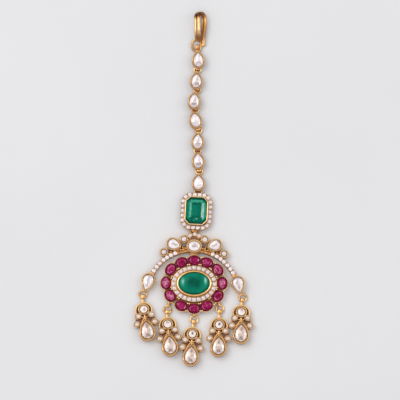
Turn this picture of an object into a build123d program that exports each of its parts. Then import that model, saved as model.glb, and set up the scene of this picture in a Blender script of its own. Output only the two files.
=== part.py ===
from build123d import *
from collections import namedtuple
from math import atan2, cos, degrees, hypot, radians, sin, sqrt, tan
import os

# A maang tikka, the forehead ornament worn along the hair parting, lying face up on its back.
# Its hook is at +Y and its fringe of drops at -Y. The flat backs of the settings are at Z = 0.
# Every piece that hangs from another has an upright eye that passes through a flat ring of the
# piece above it. Rings and eyes are soldered to their settings, so each setting is one solid.

os.makedirs("parts", exist_ok=True)

# ------------------------------------------------------------------ driving dimensions, in mm
CENTRE_X, CENTRE_Y = -0.102, 0.341  # middle of the whole outline in the layout tables below

STONE_GAP = 0.06  # between a stone and the metal of its seat

# links
LINK_Z = 0.76  # height of the middle of every ring and eye
RING_R, RING_WIRE = 1.45, 0.35  # centre line and half thickness of a flat ring's wire
CHAIN_RING_R = 1.25  # centre line of the rings between the chain's settings
EYE_WALL, EYE_HOLE = 0.35, 0.82  # strip thickness and height of its slot
# where an eye starts and ends, from the middle of the ring it passes through, and the strip's width
CHAIN_EYE_START, CHAIN_EYE_END, CHAIN_EYE_WIDTH = 0.3, 2.1, 1.0
ARCH_EYE_START, ARCH_EYE_END, ARCH_EYE_WIDTH = 0.5, 3.4, 1.2
DROP_EYE_START, DROP_EYE_WIDTH = 0.0, 1.0
# tabs that solder a ring to the setting above it: width, how far they reach past the ring's middle, height
CHAIN_TAB_WIDTH, CHAIN_TAB_REACH = 1.6, 0.0
CREST_TAB_WIDTH, CREST_TAB_REACH = 2.4, 0.32
TAB_LOW, TAB_HIGH = 0.5, 1.45

# hook
HOOK_WIRE = 0.54  # half thickness
HOOK_RING_X, HOOK_RING_Y, HOOK_RING_Z = 1.01, 57.25, 0.85
HOOK_RING_R, HOOK_RING_WIRE, HOOK_RING_STRAIGHT = 1.7, 0.42, 1.1
HOOK_TIP_X, HOOK_TIP_Y = 3.95, 57.60

# chain of pear settings
CHAIN_W, CHAIN_L, CHAIN_RIM = 4.9, 7.0, 0.5
CHAIN_BASE, CHAIN_FLOOR, CHAIN_TOP, CHAIN_CROWN = 1.35, 1.85, 3.15, 3.5

# crest: step-cut emerald in a halo of small stones
CREST_X, CREST_Y, CREST_TURN = 0.95, -9.07, -3.0
CREST_STONE_W, CREST_STONE_L, CREST_CORNER = 8.1, 10.35, 1.6
CREST_RIM, CREST_TOP, CREST_FLOOR = 0.48, 4.0, 1.0
CREST_GIRDLE, CREST_STEP, CREST_TABLE = 3.75, 4.2, 4.6
HALO_W, HALO_L, HALO_CORNER, HALO_BASE, HALO_TOP = 12.1, 14.65, 4.0, 1.3, 2.3

# arch above the cluster
ARCH_X, ARCH_Y, ARCH_TURN = 0.12, -22.89, -1.7  # middle of its oval setting
ARCH_CENTRE, ARCH_R, ARCH_BAND, ARCH_SPAN, ARCH_TOP = -19.32, 17.96, 1.7, 63.0, 2.0
OVAL_A, OVAL_B, OVAL_RIM, OVAL_TOP = 3.06, 2.7, 0.7, 3.0
SIDE_PEAR_W, SIDE_PEAR_L, SIDE_PEAR_X, SIDE_PEAR_Y, SIDE_PEAR_TURN = 5.1, 6.1, 7.95, 0.55, 111.0
END_PEAR_W, END_PEAR_L, END_PEAR_X, END_PEAR_Y, END_PEAR_TURN = 5.45, 7.6, 17.64, -14.76, -163.7
ARCH_PEAR_RIM, ARCH_PEAR_TOP = 0.6, 2.8
ARCH_ROUND_R, ARCH_ROUND_RIM, ARCH_ROUND_TOP = 1.7, 0.6, 2.4
ARCH_FLOOR = 1.1

# ruby cluster round the cabochon
CLUSTER_X, CLUSTER_Y, CLUSTER_TURN = 0.1, -37.68, -0.4
RUBY_A, RUBY_B, RUBY_MARGIN = 2.36, 1.92, 0.38
GALLERY_TOP, RUBY_GIRDLE, RUBY_TABLE = 1.5, 2.35, 2.95
PRONG_R, PRONG_TOP, PRONG_OUT, PRONG_IN = 0.34, 2.75, 1.5, 1.42
PAVE_A, PAVE_B, PAVE_TOP = 8.85, 7.15, 2.6
GALLERY_A, GALLERY_B = 10.6, 9.4  # solid floor that joins the scallops
CAB_A, CAB_B, CAB_RIM, CAB_RISE, CAB_TOP, CAB_FLOOR, CAB_GIRDLE, CAB_HEIGHT = 5.95, 4.25, 1.0, 0.09, 3.3, 1.6, 3.1, 2.0

# the five drops, all from one pattern, measured from the middle of the round setting
PLATE_TOP, DROP_FLOOR = 0.8, 1.0
HOOP_R, HOOP_WIRE, HOOP_Y, HOOP_TOP = 3.5, 0.75, -0.55, 2.0
ROUND_R, ROUND_RIM, ROUND_TOP = 2.24, 0.7, 2.6
ACCENT_A, ACCENT_B, ACCENT_RIM, ACCENT_TOP = 1.42, 1.3, 0.42, 2.2
DROP_PEAR_W, DROP_PEAR_L, DROP_PEAR_Y, DROP_PEAR_RIM, DROP_PEAR_TOP = 6.45, 8.6, -8.25, 0.82, 3.0

# ------------------------------------------------------------------ layout tables, in mm and degrees
Link = namedtuple("Link", "x y turn ring_x ring_y")  # setting's middle and turn, middle of the ring below it
CHAIN = (
    Link(1.72, 51.09, 2.0, 1.40, 47.51),
    Link(0.96, 42.74, -2.0, 1.29, 39.31),
    Link(0.13, 34.70, -5.5, 0.51, 31.35),
    Link(0.60, 27.00, 12.6, 1.79, 23.35),
    Link(1.50, 18.58, -3.7, 1.40, 15.23),
    Link(1.70, 10.82, 3.9, 2.07, 6.99),
    Link(1.75, 2.24, -2.1, 1.68, -1.01),
)
CREST_RING_X, CREST_RING_Y = 0.23, -16.85  # ring under the crest that carries the arch

Drop = namedtuple("Drop", "x y turn ring_x ring_y")  # round setting's middle, turn, ring it hangs from
DROPS = (
    Drop(-19.46, -47.64, 9.5, -19.77, -41.52),
    Drop(-10.18, -53.43, 6.3, -10.26, -47.54),
    Drop(-0.58, -57.28, -3.9, 0.12, -51.42),
    Drop(9.79, -53.64, -1.6, 10.06, -47.30),
    Drop(18.41, -48.65, -0.9, 19.03, -42.90),
)
Accent = namedtuple("Accent", "x y")  # small round settings of a drop
ACCENTS = (Accent(-2.56, -2.33), Accent(2.56, -2.33), Accent(-3.5, -5.33), Accent(3.5, -5.33))

Ruby = namedtuple("Ruby", "x y turn")  # clockwise from the top of the cluster, turn of the long axis
RUBIES = (
    Ruby(0.0, 9.26, 0),
    Ruby(4.97, 8.39, -22),
    Ruby(9.15, 5.64, -54),
    Ruby(10.98, 0.23, -90),
    Ruby(9.30, -4.78, -126),
    Ruby(4.88, -8.66, -158),
    Ruby(0.07, -9.71, 180),
    Ruby(-4.88, -8.66, 158),
    Ruby(-9.30, -4.78, 126),
    Ruby(-10.98, 0.23, 90),
    Ruby(-9.15, 5.64, 54),
    Ruby(-4.97, 8.39, 22),
)
ArchRound = namedtuple("ArchRound", "name x y")
ARCH_ROUNDS = (
    ArchRound("inner_left", -4.07, 2.78),
    ArchRound("inner_right", 4.07, 2.78),
    ArchRound("outer_left", -11.73, -2.59),
    ArchRound("outer_right", 11.73, -2.59),
)
TopBead = namedtuple("TopBead", "x y")  # small settings on the arch's crown
TOP_BEADS = (TopBead(-1.76, 4.11), TopBead(0.06, 4.71), TopBead(1.76, 4.11))
TOP_BEAD_R = 0.98

HookPoint = namedtuple("HookPoint", "x y z radius")  # centre line of a wire and the bend at each corner
HOOK_LEFT = (
    HookPoint(1.05, 59.40, 0.95, 0),
    HookPoint(0.52, 62.00, 2.75, 4.0),
    HookPoint(0.56, 69.95, 3.00, 1.85),
    HookPoint(3.55, 69.95, 0.60, 1.85),
    HookPoint(3.35, 60.00, 0.55, 6.0),
    HookPoint(3.75, 57.40, 0.55, 0),
)
HOOK_RIGHT = (
    HookPoint(2.30, 58.90, 0.95, 0),
    HookPoint(1.95, 61.70, 3.95, 4.0),
    HookPoint(1.74, 69.70, 4.45, 1.85),
    HookPoint(4.25, 69.70, 1.95, 1.85),
    HookPoint(4.62, 65.50, 1.80, 12.0),
    HookPoint(3.80, 60.40, 1.50, 6.0),
    HookPoint(4.05, 57.50, 0.62, 0),
)


# ------------------------------------------------------------------ planes and outlines
def spot(x, y, z=0.0, turn=0.0):
    """Level plane at a place of the layout, turned about Z."""
    a = radians(turn)
    return Plane(origin=(x - CENTRE_X, y - CENTRE_Y, z), x_dir=(cos(a), sin(a), 0), z_dir=(0, 0, 1))


def within(frame, x, y):
    """Layout place of a point given in a turned frame (frame_x, frame_y, turn)."""
    fx, fy, turn = frame
    a = radians(turn)
    return fx + x * cos(a) - y * sin(a), fy + x * sin(a) + y * cos(a)


def inner(frame, x, y, turn=0.0, z=0.0):
    """Level plane at a point of a turned frame."""
    px, py = within(frame, x, y)
    return spot(px, py, z, frame[2] + turn)


def ahead(x0, y0, x1, y1, distance):
    """Point at a distance from the first place, towards the second."""
    length = hypot(x1 - x0, y1 - y0)
    return x0 + (x1 - x0) * distance / length, y0 + (y1 - y0) * distance / length


def pear(width, length, inset=0.0, rise=30.0):
    """Pear-shaped face, tip on +Y and the middle of its length on the origin.
    A round end meets two flat flanks, tangent to it, at rise degrees above its middle."""
    r, tip = width / 2, length / 2
    nx, ny = cos(radians(rise)), sin(radians(rise))
    cy = r - length / 2
    dx, dy = -r * nx, tip - cy - r * ny
    flank = -(dx * dx + dy * dy) / (2 * (dx * nx + dy * ny))
    qx, qy = (r - flank) * nx, cy + (r - flank) * ny
    r, flank = r - inset, flank - inset
    tip = qy + sqrt(flank**2 - qx**2)
    sx, sy = qx + flank * nx, qy + flank * ny
    half = (radians(rise) + atan2(tip - qy, -qx)) / 2
    mx, my = qx + flank * cos(half), qy + flank * sin(half)
    with BuildLine() as edge:
        ThreePointArc((sx, sy), (0, cy - r), (-sx, sy))
        ThreePointArc((-sx, sy), (-mx, my), (0, tip))
        ThreePointArc((0, tip), (mx, my), (sx, sy))
    make_face(edge.edges())


def octagon(width, length, corner, grow=0.0):
    """Rectangle with clipped corners, as a step-cut stone has."""
    w, h, c = width / 2 + grow, length / 2 + grow, corner + grow * (2 - sqrt(2))
    with BuildLine() as edge:
        Polyline(
            (w - c, h), (w, h - c), (w, c - h), (w - c, -h), (c - w, -h), (-w, c - h), (-w, h - c), (c - w, h), close=True
        )
    make_face(edge.edges())


# ------------------------------------------------------------------ features added to the part being built
def cup(plane, outline, rim, top, floor, base=0.0, lip=0.35):
    """Bezel cup: a wall with a narrowing lip, and a seat for its stone. outline(inset) draws its face."""
    with BuildSketch(plane.offset(base)) as wall:
        outline(0.0)
    extrude(wall.sketch, amount=top - base - lip)
    with BuildSketch(plane.offset(top - lip)) as shoulder:
        outline(0.0)
    with BuildSketch(plane.offset(top)) as crown:
        outline(lip / 2)
    loft([shoulder.sketch, crown.sketch])
    with BuildSketch(plane.offset(floor)) as seat:
        outline(rim)
    extrude(seat.sketch, amount=top - floor + 0.2, mode=Mode.SUBTRACT)


def stone(plane, outline, inset, bottom, girdle, table, slope):
    """Stone that fills a seat: straight to its girdle, then a crown that slopes in to a flat table."""
    with BuildSketch(plane.offset(bottom)) as pavilion:
        outline(inset)
    extrude(pavilion.sketch, amount=girdle - bottom)
    with BuildSketch(plane.offset(girdle)) as edge:
        outline(inset)
    with BuildSketch(plane.offset(table)) as face:
        outline(inset + (table - girdle) * tan(radians(slope)))
    loft([edge.sketch, face.sketch])


def ring(x, y, radius=RING_R):
    """Flat wire ring."""
    with Locations(spot(x, y, LINK_Z)):
        Torus(radius, RING_WIRE)


def tab(x, y, to_x, to_y, length, reach, width):
    """Block that solders a ring to the setting above it and fills that side of the ring's hole.
    The setting is towards the second place."""
    cx, cy = ahead(x, y, to_x, to_y, (length - reach) / 2)
    with BuildSketch(spot(cx, cy, TAB_LOW, degrees(atan2(to_y - y, to_x - x)))) as block:
        Rectangle(length + reach, width)
    extrude(block.sketch, amount=TAB_HIGH - TAB_LOW)


def eye(x0, y0, x1, y1, width, z=LINK_Z, hole=EYE_HOLE, wall=EYE_WALL):
    """Upright eye: a strip bent into a long loop between two places, standing on edge."""
    length = hypot(x1 - x0, y1 - y0)
    ux, uy = (x1 - x0) / length, (y1 - y0) / length
    middle = Plane(
        origin=((x0 + x1) / 2 - CENTRE_X, (y0 + y1) / 2 - CENTRE_Y, z), x_dir=(ux, uy, 0), z_dir=(uy, -ux, 0)
    )
    with BuildSketch(middle) as loop:
        SlotOverall(length, hole + 2 * wall)
        SlotOverall(length - 2 * wall, hole, mode=Mode.SUBTRACT)
    extrude(loop.sketch, amount=width / 2, both=True)


def save(part, name):
    part.label = name
    export_step(part, f"parts/{name}.step")


# ------------------------------------------------------------------ hook
def hook_wire(points):
    """One wire of the hook: a swept round section along its bent centre line."""
    shifted = [(p.x - CENTRE_X, p.y - CENTRE_Y, p.z) for p in points]
    with BuildLine() as line:
        FilletPolyline(*shifted, radius=[p.radius for p in points[1:-1]])
    with BuildSketch(Plane(origin=line.wire() @ 0, z_dir=line.wire() % 0)) as section:
        Circle(HOOK_WIRE)
    sweep(section.sketch, path=line.wire())


with BuildPart() as hook:
    hook_wire(HOOK_LEFT)
    hook_wire(HOOK_RIGHT)
    # rounded ends, and the flared tip that closes the two wires
    for p in (HOOK_LEFT[0], HOOK_RIGHT[0]):
        with Locations((p.x - CENTRE_X, p.y - CENTRE_Y, p.z)):
            Sphere(HOOK_WIRE)
    with BuildSketch(spot(HOOK_TIP_X, HOOK_TIP_Y, 0.02)):
        with BuildLine():
            Spline(
                (-0.95, -0.55), (-0.35, -0.75), (0.45, 0.1), (0.62, 0.95), (0.0, 1.5), (-0.62, 0.9), periodic=True
            )
        make_face()
    extrude(amount=0.95)
    # oval ring soldered to the ends of the front wires
    with BuildLine(spot(HOOK_RING_X, HOOK_RING_Y, HOOK_RING_Z)) as oval:
        half = HOOK_RING_STRAIGHT / 2
        Line((HOOK_RING_R, -half), (HOOK_RING_R, half))
        ThreePointArc((HOOK_RING_R, half), (0, half + HOOK_RING_R), (-HOOK_RING_R, half))
        Line((-HOOK_RING_R, half), (-HOOK_RING_R, -half))
        ThreePointArc((-HOOK_RING_R, -half), (0, -half - HOOK_RING_R), (HOOK_RING_R, -half))
    with BuildSketch(Plane(origin=oval.wire() @ 0, z_dir=oval.wire() % 0)):
        Circle(HOOK_RING_WIRE)
    sweep(path=oval.wire())
save(hook.part, "hook")

# ------------------------------------------------------------------ chain
pear_chain = lambda inset: pear(CHAIN_W, CHAIN_L, inset, -16.0)
for n, link in enumerate(CHAIN, 1):
    frame = (link.x, link.y, link.turn)
    seat = spot(link.x, link.y, 0, link.turn)
    inside_tip = within(frame, 0, CHAIN_L / 2 - 1.5)
    with BuildPart() as chain_setting:
        cup(seat, pear_chain, CHAIN_RIM, CHAIN_TOP, CHAIN_FLOOR, CHAIN_BASE)
        if n == 1:
            # the first eye is wider and longer, to pass the hook's thicker ring
            start = (HOOK_RING_X + 0.35, HOOK_RING_Y + 0.35)
            eye(*start, *inside_tip, 1.6, z=HOOK_RING_Z, hole=1.0)
        else:
            above = CHAIN[n - 2]
            here = (above.ring_x, above.ring_y)
            eye(*ahead(*here, *inside_tip, CHAIN_EYE_START), *ahead(*here, *inside_tip, CHAIN_EYE_END), CHAIN_EYE_WIDTH)
        ring(link.ring_x, link.ring_y, CHAIN_RING_R)
        tab(link.ring_x, link.ring_y, link.x, link.y, CHAIN_RING_R + 0.2, CHAIN_TAB_REACH, CHAIN_TAB_WIDTH)
    save(chain_setting.part, f"chain_setting_{n}")

    with BuildPart() as chain_stone:
        stone(seat, pear_chain, CHAIN_RIM + STONE_GAP, CHAIN_FLOOR + STONE_GAP, 2.75, CHAIN_CROWN, 42)
    save(chain_stone.part, f"chain_stone_{n}")

# ------------------------------------------------------------------ crest
crest = spot(CREST_X, CREST_Y, 0, CREST_TURN)
crest_outline = lambda inset: octagon(CREST_STONE_W, CREST_STONE_L, CREST_CORNER, CREST_RIM - inset)
with BuildPart() as crest_setting:
    with BuildSketch(crest.offset(HALO_BASE)):
        RectangleRounded(HALO_W, HALO_L, HALO_CORNER)
    extrude(amount=HALO_TOP - HALO_BASE)
    cup(crest, crest_outline, CREST_RIM, CREST_TOP, CREST_FLOOR, lip=0.3)
    top_ring = (CHAIN[-1].ring_x, CHAIN[-1].ring_y)
    crest_eye = (*ahead(*top_ring, CREST_X, CREST_Y, CHAIN_EYE_START), *ahead(*top_ring, CREST_X, CREST_Y, CHAIN_EYE_END + 0.1))
    eye(*crest_eye, CHAIN_EYE_WIDTH)
    ring(CREST_RING_X, CREST_RING_Y)
    tab(CREST_RING_X, CREST_RING_Y, CREST_X, CREST_Y, RING_R, CREST_TAB_REACH, CREST_TAB_WIDTH)
save(crest_setting.part, "crest_setting")

with BuildPart() as crest_emerald:
    # step cut: a shallow lower step, a steeper crown step and a flat table
    outline = lambda inset: octagon(CREST_STONE_W, CREST_STONE_L, CREST_CORNER, -STONE_GAP - inset)
    stone(crest, outline, 0.0, CREST_FLOOR + STONE_GAP, CREST_GIRDLE, CREST_STEP, 45)
    with BuildSketch(crest.offset(CREST_STEP)) as lower:
        outline(0.5)
    with BuildSketch(crest.offset(CREST_TABLE)) as table:
        outline(1.35)
    loft([lower.sketch, table.sketch])
save(crest_emerald.part, "crest_emerald")

# ------------------------------------------------------------------ arch and cluster, soldered into one setting
arch_frame = (ARCH_X, ARCH_Y, ARCH_TURN)
cluster_frame = (CLUSTER_X, CLUSTER_Y, CLUSTER_TURN)
cluster = spot(CLUSTER_X, CLUSTER_Y, 0, CLUSTER_TURN)
oval_outline = lambda inset: Ellipse(OVAL_A - inset, OVAL_B - inset)
side_pear = lambda inset: pear(SIDE_PEAR_W, SIDE_PEAR_L, inset, 0.0)
end_pear = lambda inset: pear(END_PEAR_W, END_PEAR_L, inset, 8.0)
arch_round = lambda inset: Circle(ARCH_ROUND_R - inset)
cab_outline = lambda inset: Ellipse(CAB_A + CAB_RIM - inset, CAB_B + CAB_RIM - inset)


def sector(radius, width, span):
    """Band along an arc that is symmetric about +Y, centred on the origin."""
    a = radians(span)
    lo, hi = radius - width / 2, radius + width / 2
    with BuildLine() as edge:
        ThreePointArc((-hi * sin(a), hi * cos(a)), (0, hi), (hi * sin(a), hi * cos(a)))
        Line((hi * sin(a), hi * cos(a)), (lo * sin(a), lo * cos(a)))
        ThreePointArc((lo * sin(a), lo * cos(a)), (0, lo), (-lo * sin(a), lo * cos(a)))
        Line((-lo * sin(a), lo * cos(a)), (-hi * sin(a), hi * cos(a)))
    make_face(edge.edges())


# prong posts stand in pairs between neighbouring rubies, outside and inside their ring
posts = []
for a, b in zip(RUBIES, RUBIES[1:] + RUBIES[:1]):
    length = hypot(b.x - a.x, b.y - a.y)
    for out in (PRONG_OUT, -PRONG_IN):
        posts.append(((a.x + b.x) / 2 - (b.y - a.y) / length * out, (a.y + b.y) / 2 + (b.x - a.x) / length * out))

with BuildPart() as pendant_setting:
    # cluster: scalloped gallery under the rubies, raised band for the small stones
    with BuildSketch(cluster):
        Ellipse(GALLERY_A, GALLERY_B)
        for r in RUBIES:
            with Locations(Location((r.x, r.y), r.turn)):
                Ellipse(RUBY_A + RUBY_MARGIN, RUBY_B + RUBY_MARGIN)
        for x, y in posts:
            with Locations((x, y)):
                Circle(PRONG_R + 0.4)
    extrude(amount=GALLERY_TOP)
    with BuildSketch(cluster.offset(GALLERY_TOP)):
        Ellipse(PAVE_A, PAVE_B)
    extrude(amount=PAVE_TOP - GALLERY_TOP)
    # prong posts between neighbouring rubies
    with BuildSketch(cluster.offset(GALLERY_TOP)):
        for x, y in posts:
            with Locations((x, y)):
                Circle(PRONG_R)
    extrude(amount=PRONG_TOP - GALLERY_TOP)
    # rings for the three middle drops, on short arms from the gallery
    for drop, r in zip(DROPS[1:4], (RUBIES[8], RUBIES[6], RUBIES[4])):
        ring(drop.ring_x, drop.ring_y)
        arm = within(cluster_frame, r.x, r.y)
        reach = hypot(arm[0] - drop.ring_x, arm[1] - drop.ring_y)
        mid = ahead(drop.ring_x, drop.ring_y, *arm, (RING_R + reach) / 2)
        turn = degrees(atan2(arm[1] - drop.ring_y, arm[0] - drop.ring_x))
        with BuildSketch(spot(*mid, LINK_Z - RING_WIRE, turn)):
            Rectangle(reach - RING_R, 1.3)
        extrude(amount=2 * RING_WIRE)
    # arch: curved band, with a thin plate behind the settings on its crown
    with BuildSketch(inner(arch_frame, 0, ARCH_CENTRE)):
        sector(ARCH_R, ARCH_BAND, ARCH_SPAN)
    extrude(amount=ARCH_TOP)
    with BuildSketch(inner(arch_frame, 0, ARCH_CENTRE)):
        sector(ARCH_R + 0.65, 3.0, 35.5)
    extrude(amount=1.0)
    with BuildSketch(inner(arch_frame, 0, 0, z=CHAIN_BASE)):
        with BuildLine():
            Polyline((-3.9, 3.05), (-1.9, 4.55), (0, 5.15), (1.9, 4.55), (3.9, 3.05), (2.2, 1.4), (-2.2, 1.4), close=True)
        make_face()
        for bead in TOP_BEADS:
            with Locations((bead.x, bead.y)):
                Circle(TOP_BEAD_R)
    extrude(amount=0.5)
    with BuildSketch(inner(arch_frame, 0, 0, z=CHAIN_BASE)):
        for bead in TOP_BEADS:
            with Locations((bead.x, bead.y)):
                Circle(TOP_BEAD_R)
    extrude(amount=2.5 - CHAIN_BASE)
    # bridge between the oval setting and the cluster
    with BuildSketch(spot(ARCH_X - 0.05, -25.95, 0.0)):
        Rectangle(2.6, 2.2)
    extrude(amount=GALLERY_TOP - 0.1)
    # collars and rings at the arch's two ends
    for side in (-1, 1):
        collar = inner(arch_frame, side * 16.05, -11.25, side * -63)
        with BuildSketch(collar):
            Rectangle(1.6, 2.3)
        extrude(amount=2.2)
    for drop in (DROPS[0], DROPS[4]):
        ring(drop.ring_x, drop.ring_y)
    # eye that hangs the arch from the crest
    target = within(arch_frame, 0.0, 0.0)
    here = (CREST_RING_X, CREST_RING_Y)
    eye(*ahead(*here, *target, ARCH_EYE_START), *ahead(*here, *target, ARCH_EYE_END), ARCH_EYE_WIDTH)
    # cups
    cup(inner(cluster_frame, 0, CAB_RISE), cab_outline, CAB_RIM, CAB_TOP, CAB_FLOOR, lip=0.4)
    cup(inner(arch_frame, 0, 0), oval_outline, OVAL_RIM, OVAL_TOP, ARCH_FLOOR)
    for side in (-1, 1):
        cup(inner(arch_frame, side * SIDE_PEAR_X, SIDE_PEAR_Y, side * SIDE_PEAR_TURN), side_pear, ARCH_PEAR_RIM, ARCH_PEAR_TOP, ARCH_FLOOR)
        cup(inner(arch_frame, side * END_PEAR_X, END_PEAR_Y, side * END_PEAR_TURN), end_pear, ARCH_PEAR_RIM, ARCH_PEAR_TOP, ARCH_FLOOR)
    for r in ARCH_ROUNDS:
        cup(inner(arch_frame, r.x, r.y), arch_round, ARCH_ROUND_RIM, ARCH_ROUND_TOP, ARCH_FLOOR, lip=0.25)
save(pendant_setting.part, "pendant_setting")

# ------------------------------------------------------------------ stones of the arch and the cluster
bottom = ARCH_FLOOR + STONE_GAP
with BuildPart() as arch_oval_stone:
    stone(inner(arch_frame, 0, 0), oval_outline, OVAL_RIM + STONE_GAP, bottom, 2.6, 3.3, 45)
save(arch_oval_stone.part, "arch_oval_stone")

for side, name in ((-1, "left"), (1, "right")):
    with BuildPart() as arch_pear_stone:
        plane = inner(arch_frame, side * SIDE_PEAR_X, SIDE_PEAR_Y, side * SIDE_PEAR_TURN)
        stone(plane, side_pear, ARCH_PEAR_RIM + STONE_GAP, bottom, 2.4, 3.1, 45)
    save(arch_pear_stone.part, f"arch_pear_stone_{name}")

    with BuildPart() as end_pear_stone:
        plane = inner(arch_frame, side * END_PEAR_X, END_PEAR_Y, side * END_PEAR_TURN)
        stone(plane, end_pear, ARCH_PEAR_RIM + STONE_GAP, bottom, 2.4, 3.1, 45)
    save(end_pear_stone.part, f"end_pear_stone_{name}")

for r in ARCH_ROUNDS:
    with BuildPart() as arch_round_stone:
        stone(inner(arch_frame, r.x, r.y), arch_round, ARCH_ROUND_RIM + STONE_GAP, bottom, 2.15, 2.6, 40)
    save(arch_round_stone.part, f"arch_round_stone_{r.name}")

for n, r in enumerate(RUBIES, 1):
    with BuildPart() as ruby:
        plane = inner(cluster_frame, r.x, r.y, r.turn)
        stone(plane, lambda inset: Ellipse(RUBY_A - inset, RUBY_B - inset), 0.0, GALLERY_TOP + STONE_GAP, RUBY_GIRDLE, RUBY_TABLE, 45)
    save(ruby.part, f"ruby_{n:02d}")

with BuildPart() as cluster_emerald:
    # cabochon: an oval girdle under half an ellipsoid
    cab = inner(cluster_frame, 0, CAB_RISE)
    with BuildSketch(cab.offset(CAB_FLOOR + STONE_GAP)):
        Ellipse(CAB_A - STONE_GAP, CAB_B - STONE_GAP)
    extrude(amount=CAB_GIRDLE - CAB_FLOOR - STONE_GAP)
    dome = Solid.make_sphere(1.0, angle1=0, angle2=90, angle3=360)
    dome = scale(dome, by=(CAB_A - STONE_GAP, CAB_B - STONE_GAP, CAB_HEIGHT), mode=Mode.PRIVATE)
    add(cab.offset(CAB_GIRDLE).location * dome)
save(cluster_emerald.part, "cluster_emerald")

# ------------------------------------------------------------------ drops
drop_pear = lambda inset: pear(DROP_PEAR_W, DROP_PEAR_L, inset, 5.0)
drop_round = lambda inset: Circle(ROUND_R - inset)
accent = lambda inset: Ellipse(ACCENT_A - inset, ACCENT_B - inset)
for n, d in enumerate(DROPS, 1):
    frame = (d.x, d.y, d.turn)
    base = spot(d.x, d.y, 0, d.turn)
    with BuildPart() as drop_setting:
        # back plate that carries the cups
        with BuildSketch(base):
            with Locations((0, HOOP_Y)):
                Circle(HOOP_R - 0.2)
            with BuildLine():
                Polyline((-3.1, -1.2), (3.1, -1.2), (4.1, -5.2), (2.2, -7.6), (-2.2, -7.6), (-4.1, -5.2), close=True)
            make_face()
        extrude(amount=PLATE_TOP)
        # arched wire over the round setting
        with BuildSketch(inner(frame, 0, HOOP_Y)):
            sector(HOOP_R - HOOP_WIRE / 2, HOOP_WIRE, 103)
        extrude(amount=HOOP_TOP)
        # two wires that part over the pear's tip
        with BuildSketch(base):
            with BuildLine() as wires:
                Polyline((-2.55, -6.6), (-1.35, -4.75), (0, -2.9), (1.35, -4.75), (2.55, -6.6))
            trace(line_width=0.4)
        extrude(amount=2.0)
        # eye that hangs the drop
        target = within(frame, 0, 0)
        start = ahead(d.ring_x, d.ring_y, *target, DROP_EYE_START)
        end = within(frame, 0, HOOP_Y + HOOP_R - 0.7)
        eye(*start, *end, DROP_EYE_WIDTH)
        cup(base, drop_round, ROUND_RIM, ROUND_TOP, DROP_FLOOR, lip=0.3)
        cup(inner(frame, 0, DROP_PEAR_Y), drop_pear, DROP_PEAR_RIM, DROP_PEAR_TOP, DROP_FLOOR)
        for a in ACCENTS:
            cup(inner(frame, a.x, a.y), accent, ACCENT_RIM, ACCENT_TOP, DROP_FLOOR, lip=0.2)
    save(drop_setting.part, f"drop_setting_{n}")

    bottom = DROP_FLOOR + STONE_GAP
    with BuildPart() as drop_pear_stone:
        stone(inner(frame, 0, DROP_PEAR_Y), drop_pear, DROP_PEAR_RIM + STONE_GAP, bottom, 2.6, 3.4, 45)
    save(drop_pear_stone.part, f"drop_pear_stone_{n}")

    with BuildPart() as drop_round_stone:
        stone(base, drop_round, ROUND_RIM + STONE_GAP, bottom, 2.3, 2.85, 42)
    save(drop_round_stone.part, f"drop_round_stone_{n}")

    with BuildPart() as drop_accent_stones:
        for a in ACCENTS:
            stone(inner(frame, a.x, a.y), accent, ACCENT_RIM + STONE_GAP, bottom, 2.0, 2.35, 38)
    save(drop_accent_stones.part, f"drop_accent_stones_{n}")
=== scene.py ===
import math
from collections import namedtuple

import bmesh
import bpy
import numpy as np
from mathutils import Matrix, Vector


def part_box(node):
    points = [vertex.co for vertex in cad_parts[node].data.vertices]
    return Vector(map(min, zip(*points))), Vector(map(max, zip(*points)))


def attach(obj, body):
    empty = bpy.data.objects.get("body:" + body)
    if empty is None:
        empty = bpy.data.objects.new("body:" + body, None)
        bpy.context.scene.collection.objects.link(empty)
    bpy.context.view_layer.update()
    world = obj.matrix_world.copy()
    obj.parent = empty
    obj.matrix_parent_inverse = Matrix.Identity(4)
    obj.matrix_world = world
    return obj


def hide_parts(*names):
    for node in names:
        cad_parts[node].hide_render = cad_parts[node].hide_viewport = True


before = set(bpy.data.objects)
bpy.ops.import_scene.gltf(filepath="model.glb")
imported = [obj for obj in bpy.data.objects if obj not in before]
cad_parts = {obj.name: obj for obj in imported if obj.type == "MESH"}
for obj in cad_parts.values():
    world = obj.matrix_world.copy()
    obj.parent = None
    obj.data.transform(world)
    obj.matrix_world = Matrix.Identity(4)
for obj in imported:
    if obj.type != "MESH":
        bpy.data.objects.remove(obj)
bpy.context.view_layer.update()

# Looks of a maang tikka that lies face up. All tables are in millimetres and degrees and repeat the
# CAD part's own dimensions; each setting takes its place from the box of the stone that it holds.

MM = 0.001
CENTRE = np.array([-0.102, 0.341])  # middle of the whole outline in the part's layout
LINK_Z = 0.76
RNG = np.random.default_rng(7)

Frame = namedtuple("Frame", "x y turn")
Link = namedtuple("Link", "turn ring_x ring_y")
CHAIN = (
    Link(2.0, 1.40, 47.51),
    Link(-2.0, 1.29, 39.31),
    Link(-5.5, 0.51, 31.35),
    Link(12.6, 1.79, 23.35),
    Link(-3.7, 1.40, 15.23),
    Link(3.9, 2.07, 6.99),
    Link(-2.1, 1.68, -1.01),
)
CREST_TURN, ARCH_TURN, CLUSTER_TURN = -3.0, -1.7, -0.4
CREST_RING = (0.23, -16.85)
DROP_LINKS = (
    Link(9.5, -19.77, -41.52),
    Link(6.3, -10.26, -47.54),
    Link(-3.9, 0.12, -51.42),
    Link(-1.6, 10.06, -47.30),
    Link(-0.9, 19.03, -42.90),
)
RUBY_TURNS = (0, -22, -54, -90, -126, -158, 180, 158, 126, 90, 54, 22)
ARCH_CENTRE, ARCH_R = -19.32, 17.96


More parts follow.
